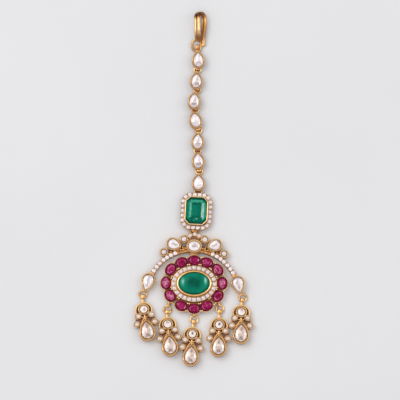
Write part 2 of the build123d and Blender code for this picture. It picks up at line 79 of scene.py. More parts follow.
# ------------------------------------------------------------------ materials
def new_material(name):
    material = bpy.data.materials.new(name)
    material.use_nodes = True
    tree = material.node_tree
    tree.nodes.clear()
    out = tree.nodes.new("ShaderNodeOutputMaterial")
    shader = tree.nodes.new("ShaderNodeBsdfPrincipled")
    tree.links.new(shader.outputs[0], out.inputs[0])
    return material, tree, shader


def noise(tree, scale, detail=2.0, roughness=0.5):
    where = tree.nodes.new("ShaderNodeTexCoord")
    grain = tree.nodes.new("ShaderNodeTexNoise")
    grain.inputs["Scale"].default_value = scale
    grain.inputs["Detail"].default_value = detail
    grain.inputs["Roughness"].default_value = roughness
    tree.links.new(where.outputs["Object"], grain.inputs["Vector"])
    return grain.outputs[0]


def math_node(tree, operation, a, b, clamp=False):
    node = tree.nodes.new("ShaderNodeMath")
    node.operation, node.use_clamp = operation, clamp
    for socket, value in zip(node.inputs, (a, b)):
        if isinstance(value, (int, float)):
            socket.default_value = value
        else:
            tree.links.new(value, socket)
    return node.outputs[0]


def spread(tree, value, low, high, from_low=0.0, from_high=1.0):
    node = tree.nodes.new("ShaderNodeMapRange")
    node.inputs["From Min"].default_value, node.inputs["From Max"].default_value = from_low, from_high
    node.inputs["To Min"].default_value, node.inputs["To Max"].default_value = low, high
    tree.links.new(value, node.inputs["Value"])
    return node.outputs[0]


def ramp(tree, value, stops):
    node = tree.nodes.new("ShaderNodeValToRGB")
    while len(node.color_ramp.elements) < len(stops):
        node.color_ramp.elements.new(0.5)
    for element, (at, colour) in zip(node.color_ramp.elements, stops):
        element.position, element.color = at, (*colour, 1.0)
    tree.links.new(value, node.inputs[0])
    return node.outputs[0]


def attribute(tree, name):
    node = tree.nodes.new("ShaderNodeAttribute")
    node.attribute_name = name
    return node.outputs["Fac"]


def gold_material(name, polish=0.0):
    """Antique gold plate: warm and polished on the high spots, brown where the per-point darkening is high; that
    darkening holds both patina in the hollows and painted shade.
    """
    material, tree, shader = new_material(name)
    age = attribute(tree, "age")
    blotch = noise(tree, 700.0, 3.0, 0.6)
    cloud = spread(tree, blotch, -0.2 - polish, 0.14 - polish)
    patina_shade_and_mottle = math_node(tree, "ADD", age, cloud, clamp=True)
    colour = ramp(
        tree,
        patina_shade_and_mottle,
        (
            (0.0, (0.98, 0.71, 0.39)),
            (0.25, (0.84, 0.51, 0.205)),
            (0.55, (0.52, 0.25, 0.08)),
            (1.0, (0.12, 0.046, 0.028)),
        ),
    )
    tree.links.new(colour, shader.inputs["Base Color"])
    shader.inputs["Metallic"].default_value = 1.0
    rough = math_node(tree, "ADD", spread(tree, patina_shade_and_mottle, 0.2, 0.5), spread(tree, noise(tree, 2600.0), -0.05, 0.08))
    tree.links.new(rough, shader.inputs["Roughness"])
    bump = tree.nodes.new("ShaderNodeBump")
    bump.inputs["Strength"].default_value = 0.35
    bump.inputs["Distance"].default_value = 0.00004
    tree.links.new(noise(tree, 1500.0, 4.0, 0.6), bump.inputs["Height"])
    tree.links.new(bump.outputs[0], shader.inputs["Normal"])
    return material


def stone_material(name, stops, roughness, ior, metallic=0.0, coat=0.0, cloud=0.1, scale=500.0, gloss=0.5):
    """Cut stone: each facet shows its own tone of the body colour under a hard polish; the facet tones are painted
    sparkle: highlights, reflections and shade.
    """
    material, tree, shader = new_material(name)
    tone = math_node(tree, "ADD", attribute(tree, "tone"), spread(tree, noise(tree, scale, 3.0, 0.6), -cloud, cloud, 0.3, 0.7), clamp=True)
    tree.links.new(ramp(tree, tone, stops), shader.inputs["Base Color"])
    shader.inputs["Metallic"].default_value = metallic
    shader.inputs["IOR"].default_value = ior
    shader.inputs["Specular IOR Level"].default_value = gloss
    shader.inputs["Coat Weight"].default_value = coat
    shader.inputs["Coat Roughness"].default_value = 0.03
    tree.links.new(spread(tree, noise(tree, 1800.0), roughness * 0.7, roughness * 1.3), shader.inputs["Roughness"])
    return material


def plate_shade_material(name):
    """Dull, purplish brown on the plates between settings: painted shade that stands in for the shadowed gaps there."""
    material, tree, shader = new_material(name)
    colour = ramp(tree, noise(tree, 900.0, 3.0, 0.6), ((0.3, (0.18, 0.10, 0.078)), (0.7, (0.31, 0.18, 0.14))))
    tree.links.new(colour, shader.inputs["Base Color"])
    shader.inputs["Metallic"].default_value = 0.3
    shader.inputs["Roughness"].default_value = 0.62
    shader.inputs["Specular IOR Level"].default_value = 0.3
    bump = tree.nodes.new("ShaderNodeBump")
    bump.inputs["Strength"].default_value = 0.5
    bump.inputs["Distance"].default_value = 0.00006
    tree.links.new(noise(tree, 1900.0, 4.0, 0.6), bump.inputs["Height"])
    tree.links.new(bump.outputs[0], shader.inputs["Normal"])
    return material


GOLD = gold_material("antique_gold")
PLATE_SHADE = plate_shade_material("plate_painted_shade")
CLEAR = stone_material(
    "clear_stone",
    ((0.0, (0.13, 0.09, 0.09)), (0.3, (0.33, 0.25, 0.24)), (0.6, (0.57, 0.47, 0.46)), (0.82, (0.78, 0.70, 0.71)), (1.0, (1.0, 0.96, 0.98))),
    0.08, 1.75, metallic=0.15, coat=0.25, cloud=0.08, scale=900.0,
)
WARM = stone_material(
    "warm_clear_stone",
    ((0.0, (0.13, 0.09, 0.08)), (0.3, (0.36, 0.255, 0.20)), (0.6, (0.64, 0.50, 0.43)), (0.82, (0.84, 0.73, 0.68)), (1.0, (1.0, 0.95, 0.93))),
    0.08, 1.75, metallic=0.15, coat=0.2, cloud=0.08, scale=900.0,
)
GREEN = stone_material(
    "green_stone",
    ((0.0, (0.0, 0.028, 0.017)), (0.3, (0.0, 0.088, 0.054)), (0.65, (0.003, 0.225, 0.137)), (0.85, (0.07, 0.40, 0.27)), (1.0, (0.38, 0.60, 0.52))),
    0.12, 1.58, coat=0.0, cloud=0.05, scale=420.0, gloss=0.045,
)
RED = stone_material(
    "red_stone",
    ((0.0, (0.06, 0.0, 0.014)), (0.36, (0.20, 0.001, 0.038)), (0.6, (0.35, 0.008, 0.10)), (0.8, (0.46, 0.12, 0.22)), (1.0, (0.80, 0.44, 0.56))),
    0.1, 1.76, coat=0.0, cloud=0.1, scale=900.0, gloss=0.06,
)


# ------------------------------------------------------------------ outlines, each as line(inset, count, phase)
def oval_line(a, b):
    def line(inset, n, phase=0.0):
        t = 2 * np.pi * (np.arange(n) + phase) / n
        return np.c_[max(a - inset, 0.02) * np.sin(t), max(b - inset, 0.02) * np.cos(t)]

    return line


def cushion_line(a, b, power=2.35):
    """Oval with fuller corners than an ellipse."""

    def line(inset, n, phase=0.0):
        t = 2 * np.pi * (np.arange(n) + phase) / n
        s, c = np.sin(t), np.cos(t)
        return np.c_[max(a - inset, 0.02) * np.sign(s) * np.abs(s) ** (2 / power), max(b - inset, 0.02) * np.sign(c) * np.abs(c) ** (2 / power)]

    return line


def pear_line(width, length, rise=30.0):
    """A round end and two flat flanks that meet in a tip on +Y, middle of the length on the origin."""
    r, up = width / 2, math.radians(rise)
    nx, ny = math.cos(up), math.sin(up)
    cy = r - length / 2
    dx, dy = -r * nx, length / 2 - cy - r * ny
    flank = -(dx * dx + dy * dy) / (2 * (dx * nx + dy * ny))
    qx, qy = (r - flank) * nx, cy + (r - flank) * ny
    side = flank * (math.atan2(length / 2 - qy, -qx) - up)
    share = side / (2 * side + r * (math.pi + 2 * up))

    def line(inset, n, phase=0.0):
        t = ((np.arange(n) + phase) / n) % 1.0
        mirrored = t > 0.5
        s = np.where(mirrored, 1 - t, t)
        rr, ff = max(r - inset, 0.05), flank - min(inset, r - 0.05)
        tip = math.acos(min(1.0, -qx / ff))
        on_flank = s < share
        angle = np.where(on_flank, tip + (up - tip) * s / share, up - (math.pi / 2 + up) * (s - share) / (0.5 - share))
        x = np.where(on_flank, qx + ff * np.cos(angle), rr * np.cos(angle))
        y = np.where(on_flank, qy + ff * np.sin(angle), cy + rr * np.sin(angle))
        return np.c_[np.where(mirrored, -x, x), y]

    return line


def corner_line(corners, radius, steps):
    """Convex outline with filleted corners; the count and phase of its points are its own."""
    corners = np.asarray(corners, float)

    def line(inset, n=None, phase=None):
        before, after = np.roll(corners, 1, 0), np.roll(corners, -1, 0)

        def edge(p, q):
            d = (q - p) / np.linalg.norm(q - p, axis=1)[:, None]
            return d, np.c_[d[:, 1], -d[:, 0]]  # inward for a clockwise outline

        d1, n1 = edge(before, corners)
        d2, n2 = edge(corners, after)
        cross = d1[:, 0] * d2[:, 1] - d1[:, 1] * d2[:, 0]
        gap = (n2 - n1) * inset
        s = (gap[:, 0] * d2[:, 1] - gap[:, 1] * d2[:, 0]) / cross
        at = corners + n1 * inset + d1 * s[:, None]
        if not steps:
            return at
        fillet = max(radius - inset, 0.06)
        turn = np.arctan2(np.abs(cross), (d1 * d2).sum(1))
        back = fillet * np.tan(turn / 2)
        out = []
        for k in range(len(at)):
            centre = at[k] - d1[k] * back[k] + n1[k] * fillet
            a0 = math.atan2(-n1[k][1], -n1[k][0])
            for j in range(steps + 1):
                a = a0 - turn[k] * j / steps
                out.append(centre + fillet * np.array([math.cos(a), math.sin(a)]))
        return np.array(out)

    return line


def octagon_line(width, length, corner, radius=0.0, steps=0):
    w, h, c = width / 2, length / 2, corner
    return corner_line(
        [(w - c, h), (w, h - c), (w, c - h), (w - c, -h), (c - w, -h), (-w, c - h), (-w, h - c), (c - w, h)], radius, steps
    )


def box_line(width, length, radius, steps=10):
    w, h = width / 2, length / 2
    return corner_line([(w, h), (w, -h), (-w, -h), (-w, h)], radius, steps)


def spaced(points, count, start=0.0):
    """Places and headings at even steps along a closed outline, clockwise."""
    loop = np.vstack([points, points[:1]])
    step = np.linalg.norm(np.diff(loop, axis=0), axis=1)
    run = np.r_[0, np.cumsum(step)]
    at = (np.arange(count) / count + start) % 1.0 * run[-1]
    xy = np.c_[np.interp(at, run, loop[:, 0]), np.interp(at, run, loop[:, 1])]
    ahead = (at + 0.05) % run[-1]
    d = np.c_[np.interp(ahead, run, loop[:, 0]), np.interp(ahead, run, loop[:, 1])] - xy
    return xy, np.arctan2(d[:, 1], d[:, 0])


# ------------------------------------------------------------------ places
def place(at, points, z=0.0):
    """Points of a level frame in the model, in mm."""
    p = np.atleast_2d(np.asarray(points, float))
    a = math.radians(at.turn)
    c, s = math.cos(a), math.sin(a)
    height = p[:, 2] if p.shape[1] > 2 else np.broadcast_to(np.asarray(z, float), len(p))
    return np.c_[at.x + p[:, 0] * c - p[:, 1] * s, at.y + p[:, 0] * s + p[:, 1] * c, height]


def inner(at, x, y, turn=0.0):
    p = place(at, [(x, y)])[0]
    return Frame(p[0], p[1], at.turn + turn)


def box_mm(node):
    lo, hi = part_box(node)
    return np.array(lo) / MM, np.array(hi) / MM


def seat(node, line, turn):
    """Frame of the setting whose stone has this outline, from the stone's own box."""
    lo, hi = box_mm(node)
    ring = place(Frame(0, 0, turn), line(0.0, 720))
    middle = (ring.min(0) + ring.max(0)) / 2
    at = (lo + hi) / 2 - middle
    return Frame(at[0], at[1], turn)


def layout(x, y):
    return np.array([x, y]) - CENTRE


def ahead(p, q, distance):
    p, q = np.asarray(p, float), np.asarray(q, float)
    return p + (q - p) * distance / np.linalg.norm(q - p)


# ------------------------------------------------------------------ mesh pieces
class Piece:
    """One mesh gathered from parts given in mm. A per-point darkening of metal holds both its patina and painted shade;
    'tone' lightens a facet, painting its sparkle and shade.
    """

    def __init__(self, name):
        self.name, self.co, self.age, self.faces, self.smooth, self.tone, self.slots = name, [], [], [], [], [], []
        self.n = 0

    def add(self, co, faces, smooth=True, age=0.0, tone=0.5, slot=0):
        co = np.asarray(co, float).reshape(-1, 3)
        self.co.append(co)
        self.age.append(np.broadcast_to(np.asarray(age, float), (len(co),)).copy())
        self.faces += [tuple(int(i) + self.n for i in f) for f in faces]
        self.smooth += [smooth] * len(faces)
        self.slots += [slot] * len(faces)
        self.tone += list(np.broadcast_to(np.asarray(tone, float), (len(faces),)))
        self.n += len(co)

    def skin(self, rings, ages=0.0, smooth=True, closed=False, slot=0):
        """Skin through equal rings of 3-D points; closed joins the last ring to the first, else both ends are capped."""
        rings = [np.asarray(r, float) for r in rings]
        m, n = len(rings), len(rings[0])
        ages = np.broadcast_to(np.asarray(ages, float), (m,))
        faces = []
        for k in range(m if closed else m - 1):
            a, b = k * n, (k + 1) % m * n
            faces += [(a + i, a + (i + 1) % n, b + (i + 1) % n, b + i) for i in range(n)]
        if not closed:
            faces += [tuple(range(n))[::-1], tuple(range((m - 1) * n, m * n))]
        self.add(np.vstack(rings), faces, smooth, np.repeat(ages, n), slot=slot)

    def raise_up(self, at, line, profile, n=56, slot=0, smooth=True):
        """Skin from a profile of (inset, height, age) round an outline."""
        self.skin([place(at, line(i, n), z) for i, z, _ in profile], [a for _, _, a in profile], smooth, slot=slot)

    def tube(self, path, radius, n=10, closed=False, age=0.15, flat=1.0, slot=0):
        """Round wire along a path, flattened in Z if flat is under 1."""
        path = np.asarray(path, float)
        m = len(path)
        radius = np.broadcast_to(np.asarray(radius, float), (m,))
        if closed:
            d = np.roll(path, -1, 0) - np.roll(path, 1, 0)
        else:
            d = np.gradient(path, axis=0)
        d /= np.linalg.norm(d, axis=1)[:, None]
        side = np.cross(d[0], (0, 0, 1.0))
        if np.linalg.norm(side) < 0.1:
            side = np.cross(d[0], (1.0, 0, 0))
        rings = []
        for k in range(m):
            side = side - d[k] * side.dot(d[k])
            side /= np.linalg.norm(side)
            up = np.cross(side, d[k])
            t = 2 * np.pi * np.arange(n) / n
            ring = path[k] + radius[k] * (np.cos(t)[:, None] * side + np.sin(t)[:, None] * up * flat)
            rings.append(ring)
        self.skin(rings, age, closed=closed, slot=slot)

    def ball(self, x, y, z, r, squash=1.0, rows=6, cols=10, age=0.0, slot=0):
        """Small domed bead, painted darker towards its underside as shade."""
        co, faces = [(x, y, z + r * squash)], []
        for i in range(1, rows):
            a = math.pi * i / rows
            for j in range(cols):
                b = 2 * math.pi * j / cols
                co.append((x + r * math.sin(a) * math.cos(b), y + r * math.sin(a) * math.sin(b), z + r * squash * math.cos(a)))
        co.append((x, y, z - r * squash))
        last = len(co) - 1
        for j in range(cols):
            k = (j + 1) % cols
            faces.append((0, 1 + j, 1 + k))
            faces.append((last, last - cols + k, last - cols + j))
            for i in range(rows - 2):
                a, b = 1 + i * cols, 1 + (i + 1) * cols
                faces.append((a + j, b + j, b + k, a + k))
        heights = np.array([c[2] for c in co])
        self.add(co, faces, True, np.clip(age + 0.55 * (z - heights) / r, 0, 1), slot=slot)

    def cut(self, at, line, base, girdle, levels, n, keel=None, low=0.25, tones=(0.35, 0.95), rng=RNG, side=0.3, paint=None):
        """Facetted stone: a base, a girdle and crown levels of (inset, height) whose points alternate, under a table or
        a keel. Facets take random tones, or the ones that paint(u, v) gives for their place in the outline's own frame;
        either way they are painted sparkle, highlights and shade."""
        faces, tone, co = [], [], []
        flat = [line(low, n), line(0.0, n)]
        reach = np.abs(flat[1]).max(0)
        co.append(place(at, flat[0], base))
        co.append(place(at, flat[1], girdle))
        faces.append(tuple(range(n))[::-1])
        tone.append(side)
        for i in range(n):
            j = (i + 1) % n
            faces.append((i, j, n + j, n + i))
            tone.append(side)
        phase, ring = 0.0, n
        for inset, z in levels:
            phase = 0.5 - phase
            flat.append(line(inset, n, phase))
            co.append(place(at, flat[-1], z))
            nxt = ring + n
            for i in range(n):
                j = (i + 1) % n
                if phase:
                    faces += [(ring + i, ring + j, nxt + i), (nxt + i, ring + j, nxt + j)]
                else:
                    faces += [(ring + i, ring + j, nxt + j), (ring + i, nxt + j, nxt + i)]
                tone += list(rng.uniform(*tones, 2))
            ring = nxt
        if keel:
            # a ridge instead of a table: the last ring closes on a line along the stone
            half, lift, shift = keel
            last = line(levels[-1][0], n, phase)
            y = np.clip(last[:, 1], shift - half, shift + half)
            flat.append(np.c_[np.sign(last[:, 0]) * 0.05, y])
            co.append(place(at, flat[-1], lift))
            nxt = ring + n
            for i in range(n):
                j = (i + 1) % n
                faces.append((ring + i, ring + j, nxt + j, nxt + i))
                tone.append(rng.uniform(*tones))
            faces.append(tuple(range(nxt, nxt + n)))
            tone.append(0.3)
        else:
            faces.append(tuple(range(ring, ring + n)))
            tone.append((tones[0] * 0.55 + tones[1] * 0.45))
        if paint:
            points = np.vstack(flat) / reach
            crown = n + 1  # the base and the sides keep their tone
            for k in range(crown, len(faces)):
                u, v = points[list(faces[k])].mean(0)
                tone[k] = float(np.clip(paint(u, v) + rng.uniform(-0.13, 0.13), 0, 1))
        self.add(np.vstack(co), faces, False, 0.0, tone)

    def make(self, materials, slot, *nodes, angle=38.0):
        mesh = bpy.data.meshes.new(self.name)
        mesh.from_pydata((np.vstack(self.co) * MM).tolist(), [], self.faces)
        for m in materials:
            mesh.materials.append(m)
        mesh.polygons.foreach_set("use_smooth", self.smooth)
        mesh.polygons.foreach_set("material_index", self.slots)
        mesh.attributes.new("age", "FLOAT", "POINT").data.foreach_set("value", np.concatenate(self.age).astype(np.float32))
        mesh.attributes.new("tone", "FLOAT", "FACE").data.foreach_set("value", np.asarray(self.tone, np.float32))
        bm = bmesh.new()
        bm.from_mesh(mesh)
        bmesh.ops.recalc_face_normals(bm, faces=bm.faces)
        bm.to_mesh(mesh)
        bm.free()
        mesh.set_sharp_from_angle(angle=math.radians(angle))
        mesh.update()
        obj = bpy.data.objects.new(self.name, mesh)
        bpy.context.scene.collection.objects.link(obj)
        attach(obj, "root")
        if nodes:
            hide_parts(*nodes)
        return obj


# ------------------------------------------------------------------ metal features shared by the settings
def bezel(piece, at, line, rim, top, floor, base=0.0, lip=0.46, foot=0.3, n=56, slot=0, wall=0.0, full=0.66, deep=1.0, dull=0.0, sink=1.0):
    """Bezel cup: rounded back edge, upright wall, rounded lip, and a slope down to the stone, painted dark as shade
    (more so by deep).
    """
    w = min(lip, rim * full)
    piece.raise_up(
        at,
        line,
        (
            (foot, base, 0.55),
            (foot * 0.4, base + 0.08, 0.5),
            (foot * 0.1, base + 0.28, 0.45 + wall),
            (0.0, base + 0.55, 0.38 + wall),
            (0.0, top - 0.42, 0.16 + wall + dull),
            (0.03, top - 0.24, 0.06 + wall * 0.4 + dull),
            (w * 0.25, top - 0.08, dull),
            (w * 0.5, top, dull),
            (w * 0.75, top - 0.06, 0.05 + dull),
            (w, top - 0.18, 0.25 * deep + dull),
            (rim * 0.92, top - 0.42 * sink, 0.55 * deep + dull),
            (rim, top - 0.52 * sink, 0.7 * deep + dull),
            (rim + 0.02, floor, 0.8),
        ),
        n,
        slot,
    )


def flat_ring(piece, x, y, r=1.45, wire=0.35, age=0.24, hammered=0.0):
    t = 2 * np.pi * np.arange(48) / 48
    dents = 1 - hammered * (2 - np.sin(3 * t + x) - np.sin(7 * t + y)) / 2
    around = age + 0.18 * np.sin(2 * t + 1.3 * x + y) + 1.2 * hammered * np.sin(5 * t + x)
    piece.tube(np.c_[x + r * np.cos(t), y + r * np.sin(t), np.full(48, LINK_Z)], wire * dents, 12, closed=True, age=np.clip(around, 0.05, 1))


def tab(piece, ring, towards, length, reach, width, age=0.3):
    """Block that solders a ring to the setting above it and fills that side of the ring's hole."""
    ring, towards = np.asarray(ring, float), np.asarray(towards, float)
    x, y = ahead(ring, towards, (length - reach) / 2)
    d = towards - ring
    block(piece, Frame(x, y, math.degrees(math.atan2(d[1], d[0])) - 90), width, length + reach, 0.5, 1.45, 0.2, age)


def upright_eye(piece, start, end, width, z=LINK_Z, hole=0.82, wall=0.35, waist=0.0, age=0.2):
    """A strip bent into a long loop between two places, standing on edge, with rounded corners and a narrower waist."""
    start, end = np.asarray(start, float), np.asarray(end, float)
    length = np.linalg.norm(end - start)
    u = np.array([*(end - start) / length, 0.0])
    side = np.array([u[1], -u[0], 0.0])
    mid = np.array([*(start + end) / 2, z])
    r = (hole + wall) / 2
    half = length / 2 - r - wall / 2
    a = np.linspace(-np.pi / 2, np.pi / 2, 9)
    line = [(half + r * math.cos(v), r * math.sin(v), math.cos(v), math.sin(v)) for v in a]
    line += [(half * f, r, 0.0, 1.0) for f in (0.6, 0.3, 0.0, -0.3, -0.6)]
    line += [(-half - r * math.cos(v), -r * math.sin(v), -math.cos(v), -math.sin(v)) for v in a]
    line += [(half * f, -r, 0.0, -1.0) for f in (-0.6, -0.3, 0.0, 0.3, 0.6)]
    t = 2 * np.pi * np.arange(12) / 12
    c, s = np.cos(t), np.sin(t)
    across = np.sign(c) * np.abs(c) ** 0.6 * width / 2
    thick = np.sign(s) * np.abs(s) ** 0.6 * wall / 2
    up = np.array([0, 0, 1.0])
    neck = [1 - waist * math.exp(-(((x / half - 0.7) / 0.45) ** 2)) for x, _, _, _ in line]
    rings = [
        mid + u * (x + nx * thick)[:, None] + up * (h + nz * thick)[:, None] + side * (across * w)[:, None]
        for (x, h, nx, nz), w in zip(line, neck)
    ]
    # darker across the middle of the upper strand and all along the lower strand: painted shade
    dark = [0.5 * math.exp(-(((x / half + 0.1) / 0.4) ** 2)) for x, _, _, _ in line]
    ages = [age + d if h > 0 else 0.5 for (_, h, _, _), d in zip(line, dark)]
    piece.skin(rings, ages, closed=True)


def band(piece, at, centre_y, span, section, smooth=True, steps=64, turn=0.0, slot=0):
    """Section of (radius, height, age) swept along an arc symmetric about +Y of a frame."""
    angles = np.radians(np.linspace(turn - span, turn + span, steps + 1))
    radius = np.array([s[0] for s in section])
    rings = [place(at, np.c_[radius * math.sin(a), centre_y + radius * math.cos(a), [s[1] for s in section]]) for a in angles]
    m, n = len(rings), len(section)
    faces = [tuple(range(n))[::-1], tuple(range((m - 1) * n, m * n))]
    for k in range(m - 1):
        a, b = k * n, (k + 1) * n
        faces += [(a + i, a + (i + 1) % n, b + (i + 1) % n, b + i) for i in range(n)]
    piece.add(np.vstack(rings), faces, smooth, np.tile([s[2] for s in section], m), slot=slot)


def block(piece, at, width, length, low, high, round_=0.2, age=0.3):
    piece.raise_up(
        at,
        box_line(width, length, min(width, length) * 0.25, 3),
        ((round_ * 0.5, low, 0.6), (0, low + 0.1, 0.5), (0, high - round_, age), (round_ * 0.4, high - round_ * 0.25, age * 0.4), (round_, high, age * 0.4)),
    )


def bead_rows(piece, xy, heading, gap, z, r, rows=(0.0,), age=0.25):
    """Grains of metal between neighbouring paved stones."""
    for (x, y), a in zip(xy, heading):
        for off in rows:
            piece.ball(x + math.cos(a) * gap - math.sin(a) * off, y + math.sin(a) * gap + math.cos(a) * off, z, r, 0.9, 5, 8, age)


def paved(stones, xy, heading, z, r, across=None, power=2.0, tones=(0.5, 1.0)):
    """Small brilliants with crown facets and a table; across is their half size square to the row, if they aren't round."""
    line = cushion_line(r, across or r, power)
    for (x, y), a in zip(xy, heading):
        here = Frame(x, y, math.degrees(a))
        stones.cut(here, line, z - 0.3, z, ((r * 0.24, z + 0.17), (r * 0.52, z + 0.26)), 10, low=r * 0.45, tones=tones, side=0.5)


def finish_stone(name, at, line, base, girdle, levels, n, material, slot, **more):
    stone = Piece(name + "_cut")
    stone.cut(at, line, base, girdle, levels, n, **more)
    stone.make([material], slot, name, angle=5.0)


def rose_levels(inset, low, high):
    """Crown of a flat-backed stone: three rings of facets that rise to its top."""
    return ((inset * 0.24, low + (high - low) * 0.5), (inset * 0.58, low + (high - low) * 0.85), (inset, high))


def long_pear(u, v):
    """Drop pear, in painted reflections: pale flanks, grey-pink middle, a dark patch towards each end."""
    if abs(u) < 0.34 and (0.2 < v < 0.55 or -0.78 < v < -0.45):
        return 0.28
    return 0.88 if abs(u) > 0.5 or v < -0.84 else 0.6


def short_pear(grey, middle):
    """Chain pear, in painted reflections: bright above, with a grey-pink band across its lower third."""

    def paint(u, v):
        if -0.66 < v < -0.24 and abs(u) < 0.62:
            return grey if v > -0.5 else grey + 0.14
        if v < -0.66:
            return 0.78
        if v > 0.4:
            return 0.78
        if abs(u) > 0.38:
            return 0.84 if u < 0 else 0.96
        return middle

    return paint


def small_round(spot_u, spot_v, spot):
    """Round stone, in painted reflections: pale rim, and a dark spot off its middle."""

    def paint(u, v):
        if math.hypot(u - spot_u, v - spot_v) < 0.34:
            return spot
        return 0.97 if u * u + v * v > 0.5 or v < -0.3 else 0.74

    return paint


def streaked_pear(u, v):
    """Wide pear, in painted reflections and shade: pale, with a grey streak along its ridge and a darker foot."""
    if abs(u) < 0.3 and -0.5 < v < 0.5:
        return 0.6
    return 0.66 if v < -0.62 else 0.9


# ------------------------------------------------------------------ hook
def bend(points, radii, steps=9):
    """Centre line through corner points, each rounded to its radius."""
    p = [np.asarray(v, float) for v in points]
    out = [p[0]]
    for a, b, c, r in zip(p, p[1:], p[2:], radii):
        u, v = (a - b) / np.linalg.norm(a - b), (c - b) / np.linalg.norm(c - b)
        turn = math.pi - math.acos(max(-1, min(1, u.dot(v))))
        back = r * math.tan(turn / 2)
        middle = (u + v) / np.linalg.norm(u + v)
        centre = b + middle * r / math.cos(turn / 2)
        start, end = b + u * back - centre, b + v * back - centre
        for k in range(steps + 1):
            f = k / steps
            w = math.sin((1 - f) * turn) / math.sin(turn) * start + math.sin(f * turn) / math.sin(turn) * end
            out.append(centre + w)
    out.append(p[-1])
    dense = [out[0]]
    for q in out[1:]:
        gap = np.linalg.norm(q - dense[-1])
        for k in range(1, int(gap / 0.6) + 1):
            dense.append(dense[-1] + (q - dense[-1]) * 0.6 / np.linalg.norm(q - dense[-1]))
        if np.linalg.norm(q - dense[-1]) > 0.05:
            dense.append(q)
    return np.array(dense)


def wire_at(points):
    return [np.array([x - CENTRE[0], y - CENTRE[1], z]) for x, y, z in points]


HOOK_LEFT = ((1.05, 59.40, 0.95), (0.64, 62.00, 2.75), (0.68, 69.95, 3.00), (3.55, 69.95, 0.60), (3.35, 60.00, 0.55), (3.75, 57.40, 0.55))
HOOK_RIGHT = (
    (2.30, 58.90, 0.95), (1.95, 61.70, 3.95), (1.74, 69.70, 4.45), (4.25, 69.70, 1.95), (4.62, 65.50, 1.80), (3.80, 60.40, 1.50), (4.05, 57.50, 0.62),
)

hook = Piece("hook_wires")
for points, bends, wire, shade in ((HOOK_LEFT, (4.0, 1.85, 1.85, 6.0), 0.55, 0.85), (HOOK_RIGHT, (4.0, 1.85, 1.85, 12.0, 6.0), 0.58, 0.72)):
    line = bend(wire_at(points), bends)
    run = np.r_[0, np.cumsum(np.linalg.norm(np.diff(line, axis=0), axis=1))]
    up = line[:, 1] + CENTRE[1]
    # painted light along each wire: shade near the ring, in the crook, in the notch between the two bends and on the
    # back limbs, and painted highlights on the back limbs near their lower ends and below the crook
    front = np.clip((run[-1] * 0.5 - run) / 1.5, 0, 1)
    near_ring = np.exp(-(((up - 60.2) / 1.3) ** 2))
    crook = np.exp(-(((up - 68.6) / 0.95) ** 2))
    deep = np.exp(-(((up - 62.0) / 2.6) ** 2))
    across = line[:, 0] + CENTRE[0]
    # the left wire's bend passes under the right one, and is painted dark there as shadow
    under = np.exp(-(((across - 2.35) / 0.55) ** 2)) * (up > 68.6) if shade > 0.8 else np.exp(-(((across - 3.3) / 0.5) ** 2)) * (up > 67) * 0.35
    end_light = 0.4 * np.exp(-(((up - 58.5) / 1.2) ** 2)) + 0.22 * np.exp(-(((up - 67.2) / 1.0) ** 2))
    notch = 0.7 * np.exp(-(((across - 2.3) / 0.22) ** 2)) * (up > 68.7)
    age = notch + front * (0.18 + 0.5 * near_ring + 0.95 * crook) + (1 - front) * (shade * (0.66 + 0.34 * deep) + 0.2 * crook - end_light) + 0.8 * under
    hook.tube(line, wire, 16, age=np.clip(age, 0, 1))
    for end in (line[0], line[-1]):
        hook.ball(*end, wire, age=0.6)
tip = layout(3.95, 57.60)
shape = np.array([(-0.95, -0.55), (-0.35, -0.75), (0.45, 0.1), (0.62, 0.95), (0.0, 1.5), (-0.62, 0.9)])
t = np.arange(36) / 6.0
k = t.astype(int)
f = (t - k)[:, None]
p0, p1, p2, p3 = (shape[(k + d) % 6] for d in (-1, 0, 1, 2))
leaf = 0.5 * (2 * p1 + (p2 - p0) * f + (2 * p0 - 5 * p1 + 4 * p2 - p3) * f**2 + (3 * p1 - p0 - 3 * p2 + p3) * f**3)
leaf_middle = leaf.mean(0)
hook.skin(
    [np.c_[tip + leaf_middle + (leaf - leaf_middle) * s, np.full(36, z)] for s, z in ((0.8, 0.02), (0.98, 0.15), (1.0, 0.5), (0.92, 0.8), (0.7, 0.95), (0.35, 1.02))],
    (0.7, 0.65, 0.5, 0.35, 0.25, 0.2),
)
ring_at = layout(1.01, 57.25)
turns = np.linspace(0, 2 * np.pi, 48, endpoint=False)
oval = np.c_[ring_at[0] + 1.75 * np.cos(turns), ring_at[1] + 1.75 * np.sin(turns) + np.sign(np.sin(turns)) * 0.55, np.full(48, 0.85)]
hook.tube(oval, 0.37, 14, closed=True, age=0.4 + 0.2 * np.sin(turns * 2 + 0.6))
hook.make([GOLD], "gold", "hook")

# ------------------------------------------------------------------ chain
CHAIN_W, CHAIN_L, CHAIN_RIM, CHAIN_TOP, CHAIN_RING_R = 4.9, 7.0, 0.5, 3.15, 1.25
CHAIN_TONES = ((0.5, 0.85), (0.38, 0.7), (0.34, 0.66), (0.66, 0.92), (0.5, 0.72), (0.4, 0.8), (0.74, 1.0))
chain_cup = pear_line(CHAIN_W, CHAIN_L, -16.0)


def inset_line(line, inset):
    return lambda i, n, phase=0.0: line(inset + i, n, phase)


